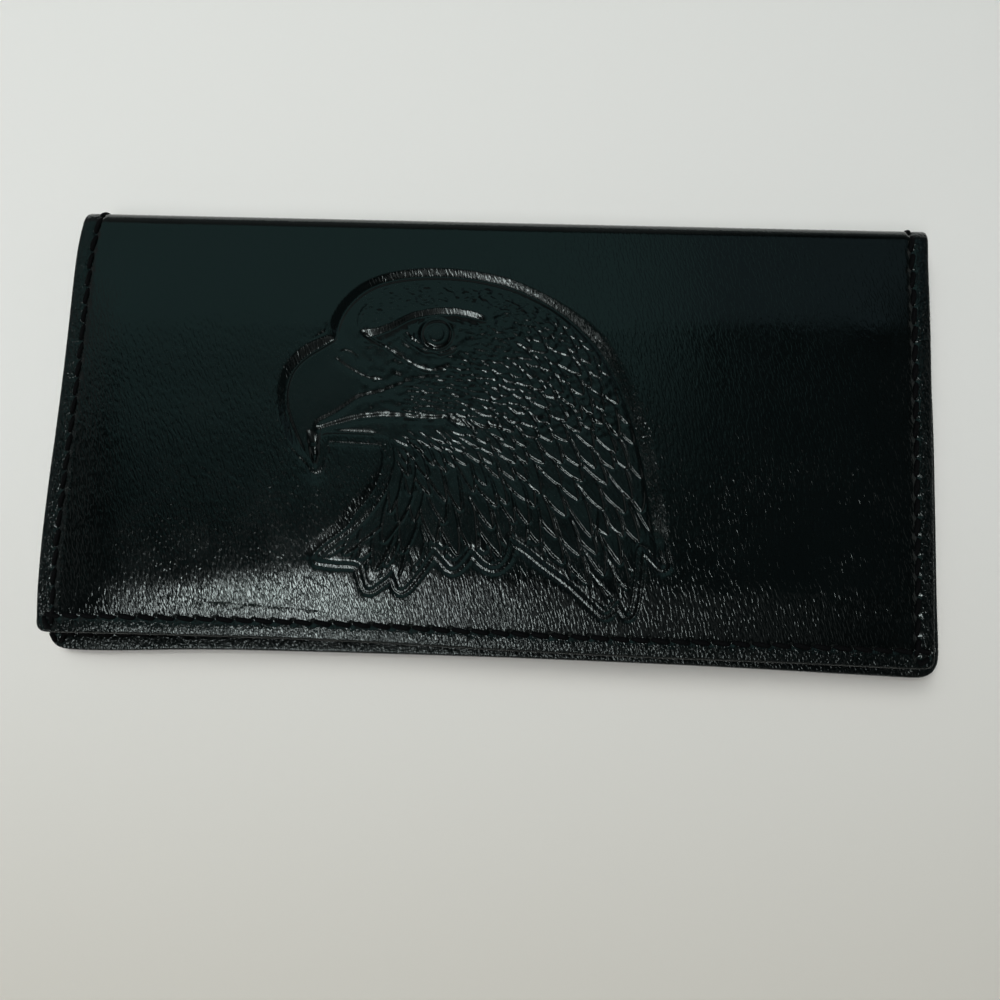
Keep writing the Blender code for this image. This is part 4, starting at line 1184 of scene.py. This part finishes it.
rows = rows[(rows[:, 0] > SLIP_X + 0.4) & (rows[:, 1] < 22.5)]
slip = plate("slip_front", loop, PANEL_FACE, 0.6, on_front, [pocket_mat, pocket_edge],
             dip=plus(crease_dip(tool, 0.08), front_dip), extra=apart(rows, loop, 0.4), edge=0.12)


def front_face(x, t):
    """Innermost face of the front half's layers."""
    x, t = np.asarray(x, float), np.asarray(t, float)
    z = np.where(t > PANEL_MOUTH, 2.3, PANEL_FACE)
    card = x < COLUMN_X
    top = np.zeros(np.shape(t))
    for mouth, foot, under in ((26.0, -20.0, 0), (16.0, -30.0, 1), (6.0, -60.0, 2)):
        here = card & (t < mouth) & (t > foot)
        top = np.where(here, slot_level(under)(x, t) + 0.55, top)
    z = np.maximum(z, top)
    slant = 14.0 + 10.0 * (x - SLIP_X) / (82.4 - SLIP_X)
    return np.where((x > SLIP_X) & (t < slant), PANEL_FACE + 0.6, z)


def back_face(x, t):
    return np.where(np.asarray(t, float) > POCKET_MOUTH, 2.3, 3.3) + 0 * np.asarray(x, float)


thread_front_inner = stitches("thread_front_inner", flap_seam, lambda x, t: front_face(x, t) - 0.12, on_front, thread_mat, flip=-1.0)
thread_back_inner = stitches("thread_back_inner", back_seam, lambda x, t: back_face(x, t) - 0.12 - press_down(x, t), on_back, thread_mat, flip=-1.0)
d_path = np.array([(DIVIDER_X, 34.0), (DIVIDER_X, -37.0)])
d_path = resample(d_path, 0.3)
d_s = steps_along(d_path)
divider = {"path": d_path, "s": d_s, "holes": np.linspace(0, d_s[-1], int(round(d_s[-1] / PITCH)) + 1)}
thread_divider = stitches("thread_divider", divider, lambda x, t: np.full(np.shape(t), PANEL_FACE - 0.05), on_front, thread_mat, flip=-1.0)


# ================================================================ linings
def lining(name, sides, r_left, r_right, place):
    path = free_path(sides, 0.25, r_left, r_right, 1.2)
    nrm = normals(path)
    rings = [cut_ring(path, nrm, d, 70) for d in (0.12, 0.0, 0.0, 0.12)]
    levels = [COVER_T + 0.02, COVER_T + 0.15, 2.15, 2.28]
    rows = well_inside(bend_rows(-84, 83, 37.0, 0.5, 2.4), rings[0], 0.5)
    pts = np.vstack([rows, apart(well_inside(lattice(-85, 86, -43, 36.5, 4.0), rings[0], 1.2), rows, 1.4)])
    return ring_solid(name, rings, levels, pts, lambda x, t: np.full(np.shape(x), COVER_T + 0.02),
                      pts, lambda x, t: np.full(np.shape(x), 2.28), place, [lining_mat], [False] * 3, None, T_MID)


lining_back = lining("lining_back", BACK_SIDES, 4.6, 5.0, on_back)
lining_front = lining("lining_front", FLAP_SIDES, 2.0, 2.2, on_front)


# ================================================================ what replaces which part: the covers, threads and linings stay where they are built, the layers inside move with their half
def point(y, z):
    return (0.0, y * MM, z * MM)


def with_back(obj, material_slot, *nodes):
    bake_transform(obj)
    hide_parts(*nodes)


def with_front(obj, material_slot, *nodes):
    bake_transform(obj)
    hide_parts(*nodes)


with_back(leather_back, "outer_leather", "back_cover", "spine_cover")
with_front(leather_front, "outer_leather", "front_cover", "spine_cover")
with_back(thread_back, "thread", "back_seam_thread", "spine_thread_left", "spine_thread_right")
with_front(thread_front, "thread", "front_seam_thread", "spine_thread_left", "spine_thread_right")
with_back(thread_back_inner, "thread", "back_seam_thread")
with_front(thread_front_inner, "thread", "front_seam_thread")
with_back(lining_back, "lining", "back_lining", "spine_lining")
with_front(lining_front, "lining", "front_lining", "spine_lining")
for obj, body, material_slot, node in (
        (back_pocket, "back_half", "pocket_leather", "back_pocket"),
        (card_panel, "front_half", "pocket_leather", "card_panel"),
        (slots[0], "front_half", "pocket_leather", "card_slot_upper"),
        (slots[1], "front_half", "pocket_leather", "card_slot_middle"),
        (slots[2], "front_half", "pocket_leather", "card_slot_lower"),
        (slip, "front_half", "pocket_leather", "slip_pocket"),
        (thread_divider, "front_half", "thread", "divider_thread")):
    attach(obj, body)
    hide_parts(node)


# ================================================================ floor, lights, camera
floor_mesh = bpy.data.meshes.new("floor")
floor_mesh.from_pydata([(-1.6, -1.6, 0), (1.6, -1.6, 0), (1.6, 1.6, 0), (-1.6, 1.6, 0)], [], [(0, 1, 2, 3)])
floor = bpy.data.objects.new("floor", floor_mesh)
floor.location.z = -0.00002
scene.collection.objects.link(floor)
floor_mat = bpy.data.materials.new("floor_paper_painted_shade")
floor_mat.use_nodes = True
shader = floor_mat.node_tree.nodes["Principled BSDF"]
floor_nodes, floor_links = floor_mat.node_tree.nodes, floor_mat.node_tree.links
# painted shade: the paper's colour darkens and warms towards the front and a little to the right, standing in for the
# light falling off across the table
spot = floor_nodes.new("ShaderNodeTexCoord")
painted_shade_axis = floor_nodes.new("ShaderNodeVectorMath")
painted_shade_axis.operation = "DOT_PRODUCT"
painted_shade_axis.inputs[1].default_value = (0.02, -1.0, 0.0)
floor_links.new(spot.outputs["Object"], painted_shade_axis.inputs[0])
fade = floor_nodes.new("ShaderNodeMapRange")
fade.interpolation_type = "SMOOTHSTEP"
fade.inputs["From Min"].default_value = -0.03
fade.inputs["From Max"].default_value = 0.19
floor_links.new(painted_shade_axis.outputs["Value"], fade.inputs["Value"])
paper_with_painted_shade = floor_nodes.new("ShaderNodeMix")
paper_with_painted_shade.data_type = "RGBA"
# A is the paper's own colour, B the same paper in painted shade
paper_with_painted_shade.inputs["A"].default_value = (0.80, 0.795, 0.772, 1.0)
paper_with_painted_shade.inputs["B"].default_value = (0.560, 0.528, 0.462, 1.0)
floor_links.new(fade.outputs["Result"], paper_with_painted_shade.inputs["Factor"])
floor_links.new(paper_with_painted_shade.outputs["Result"], shader.inputs["Base Color"])
shader.inputs["Roughness"].default_value = 0.75
shader.inputs["Specular IOR Level"].default_value = 0.2
floor_mesh.materials.append(floor_mat)

world = bpy.data.worlds.new("room")
world.use_nodes = True
world.node_tree.nodes["Background"].inputs["Color"].default_value = (0.90, 1.0, 1.0, 1.0)
world.node_tree.nodes["Background"].inputs["Strength"].default_value = 0.02
# a dim room, a little lighter near the horizon
toward = world.node_tree.nodes.new("ShaderNodeTexCoord")
height = world.node_tree.nodes.new("ShaderNodeSeparateXYZ")
fade = world.node_tree.nodes.new("ShaderNodeMapRange")
fade.interpolation_type = "SMOOTHSTEP"
for name, value in (("From Min", 0.0), ("From Max", 0.5), ("To Min", 0.20), ("To Max", 0.02)):
    fade.inputs[name].default_value = value
world.node_tree.links.new(toward.outputs["Generated"], height.inputs["Vector"])
world.node_tree.links.new(height.outputs["Z"], fade.inputs["Value"])
world.node_tree.links.new(fade.outputs["Result"], world.node_tree.nodes["Background"].inputs["Strength"])
scene.world = world


def area(name, location, target, size, power, color=(1, 1, 1)):
    data = bpy.data.lights.new(name, "AREA")
    data.shape = "RECTANGLE"
    data.size, data.size_y = size
    data.energy = power
    data.color = color
    light = bpy.data.objects.new(name, data)
    light.location = location
    direction = Vector(target) - Vector(location)
    light.rotation_euler = direction.to_track_quat("-Z", "Y").to_euler()
    scene.collection.objects.link(light)
    return light


# one long softbox, weaker to the right and towards the front
for left, right, glow in ((-0.40, -0.355, 15.0), (-0.355, -0.28, 34.0), (-0.28, -0.20, 7.8), (-0.20, -0.14, 1.9),
                          (-0.14, -0.06, 0.80), (-0.06, 0.04, 0.62), (0.04, 0.33, 0.25)):
    for front, back, share in ((-0.72, -0.28, 0.80), (-0.28, -0.12, 1.0)):
        x, y, wide, deep = (left + right) / 2, (front + back) / 2, right - left, back - front
        area("overhead", (x, y, 1.0), (x, y, 0.0), (wide, deep), glow * share * math.pi * wide * deep * 0.62)
area("overhead_back", (-0.25, -0.04, 1.0), (-0.25, -0.04, 0.0), (0.20, 0.13), 0.09)
# the ceiling of the room, lighter towards the back
for near, far, left, glow in ((0.06, 0.13, -0.56, 0.055), (0.13, 0.23, -0.62, 0.14), (0.23, 0.33, -0.75, 0.23), (0.33, 1.08, -1.10, 0.327)):
    x, y, wide, deep = (left + 0.20) / 2, (near + far) / 2, 0.20 - left, far - near
    area("ceiling", (x, y, 1.0), (x, y, 0.0), (wide, deep), glow * math.pi * wide * deep, (0.56, 1.0, 1.0))
area("ceiling_gap", (0.45, 0.125, 1.0), (0.45, 0.125, 0.0), (0.5, 0.5), 0.024, (0.56, 0.92, 1.0))
area("ceiling_right", (0.45, 0.80, 1.0), (0.45, 0.80, 0.0), (0.5, 0.65), 0.19, (0.60, 0.88, 1.0))
key = area("key", (-0.24, 0.33, 1.0), (0, 0, 0), (0.5, 0.5), 6.5, (1.0, 1.0, 0.98))
key.visible_glossy = False          # a diffused key: it lights the table and the cloth and leaves no glint
area("window_back", (-0.6, 1.7, 0.9), (0, 0, 0), (2.2, 0.9), 0.6, (1.0, 1.0, 0.99))
area("window_left", (-1.7, 0.3, 0.9), (0, 0, 0), (2.0, 0.9), 1.0)
area("window_right", (1.7, 0.2, 0.9), (0, 0, 0), (2.0, 0.9), 1.6, (1.0, 0.98, 0.95))
area("window_front", (0.0, -1.7, 0.9), (0, 0, 0), (2.2, 0.9), 1.5, (1.0, 0.97, 0.92))

axis = np.radians([-6.547, -1.829, -1.945])
turn = float(np.linalg.norm(axis))
rotation = Matrix.Rotation(turn, 3, Vector(axis / turn))
camera_data = bpy.data.cameras.new("camera")
camera_data.sensor_fit = "HORIZONTAL"
camera_data.sensor_width = 36.0
camera_data.lens = 33.08
camera_data.clip_start = 0.005
camera_data.clip_end = 20.0
camera = bpy.data.objects.new("camera", camera_data)
camera.matrix_world = Matrix.Translation((0.00751, -0.03201, 0.18283)) @ rotation.transposed().to_4x4()
scene.collection.objects.link(camera)
scene.camera = camera
scene.view_settings.view_transform = "Standard"
scene.view_settings.look = "None"
scene.view_settings.exposure = 0.0
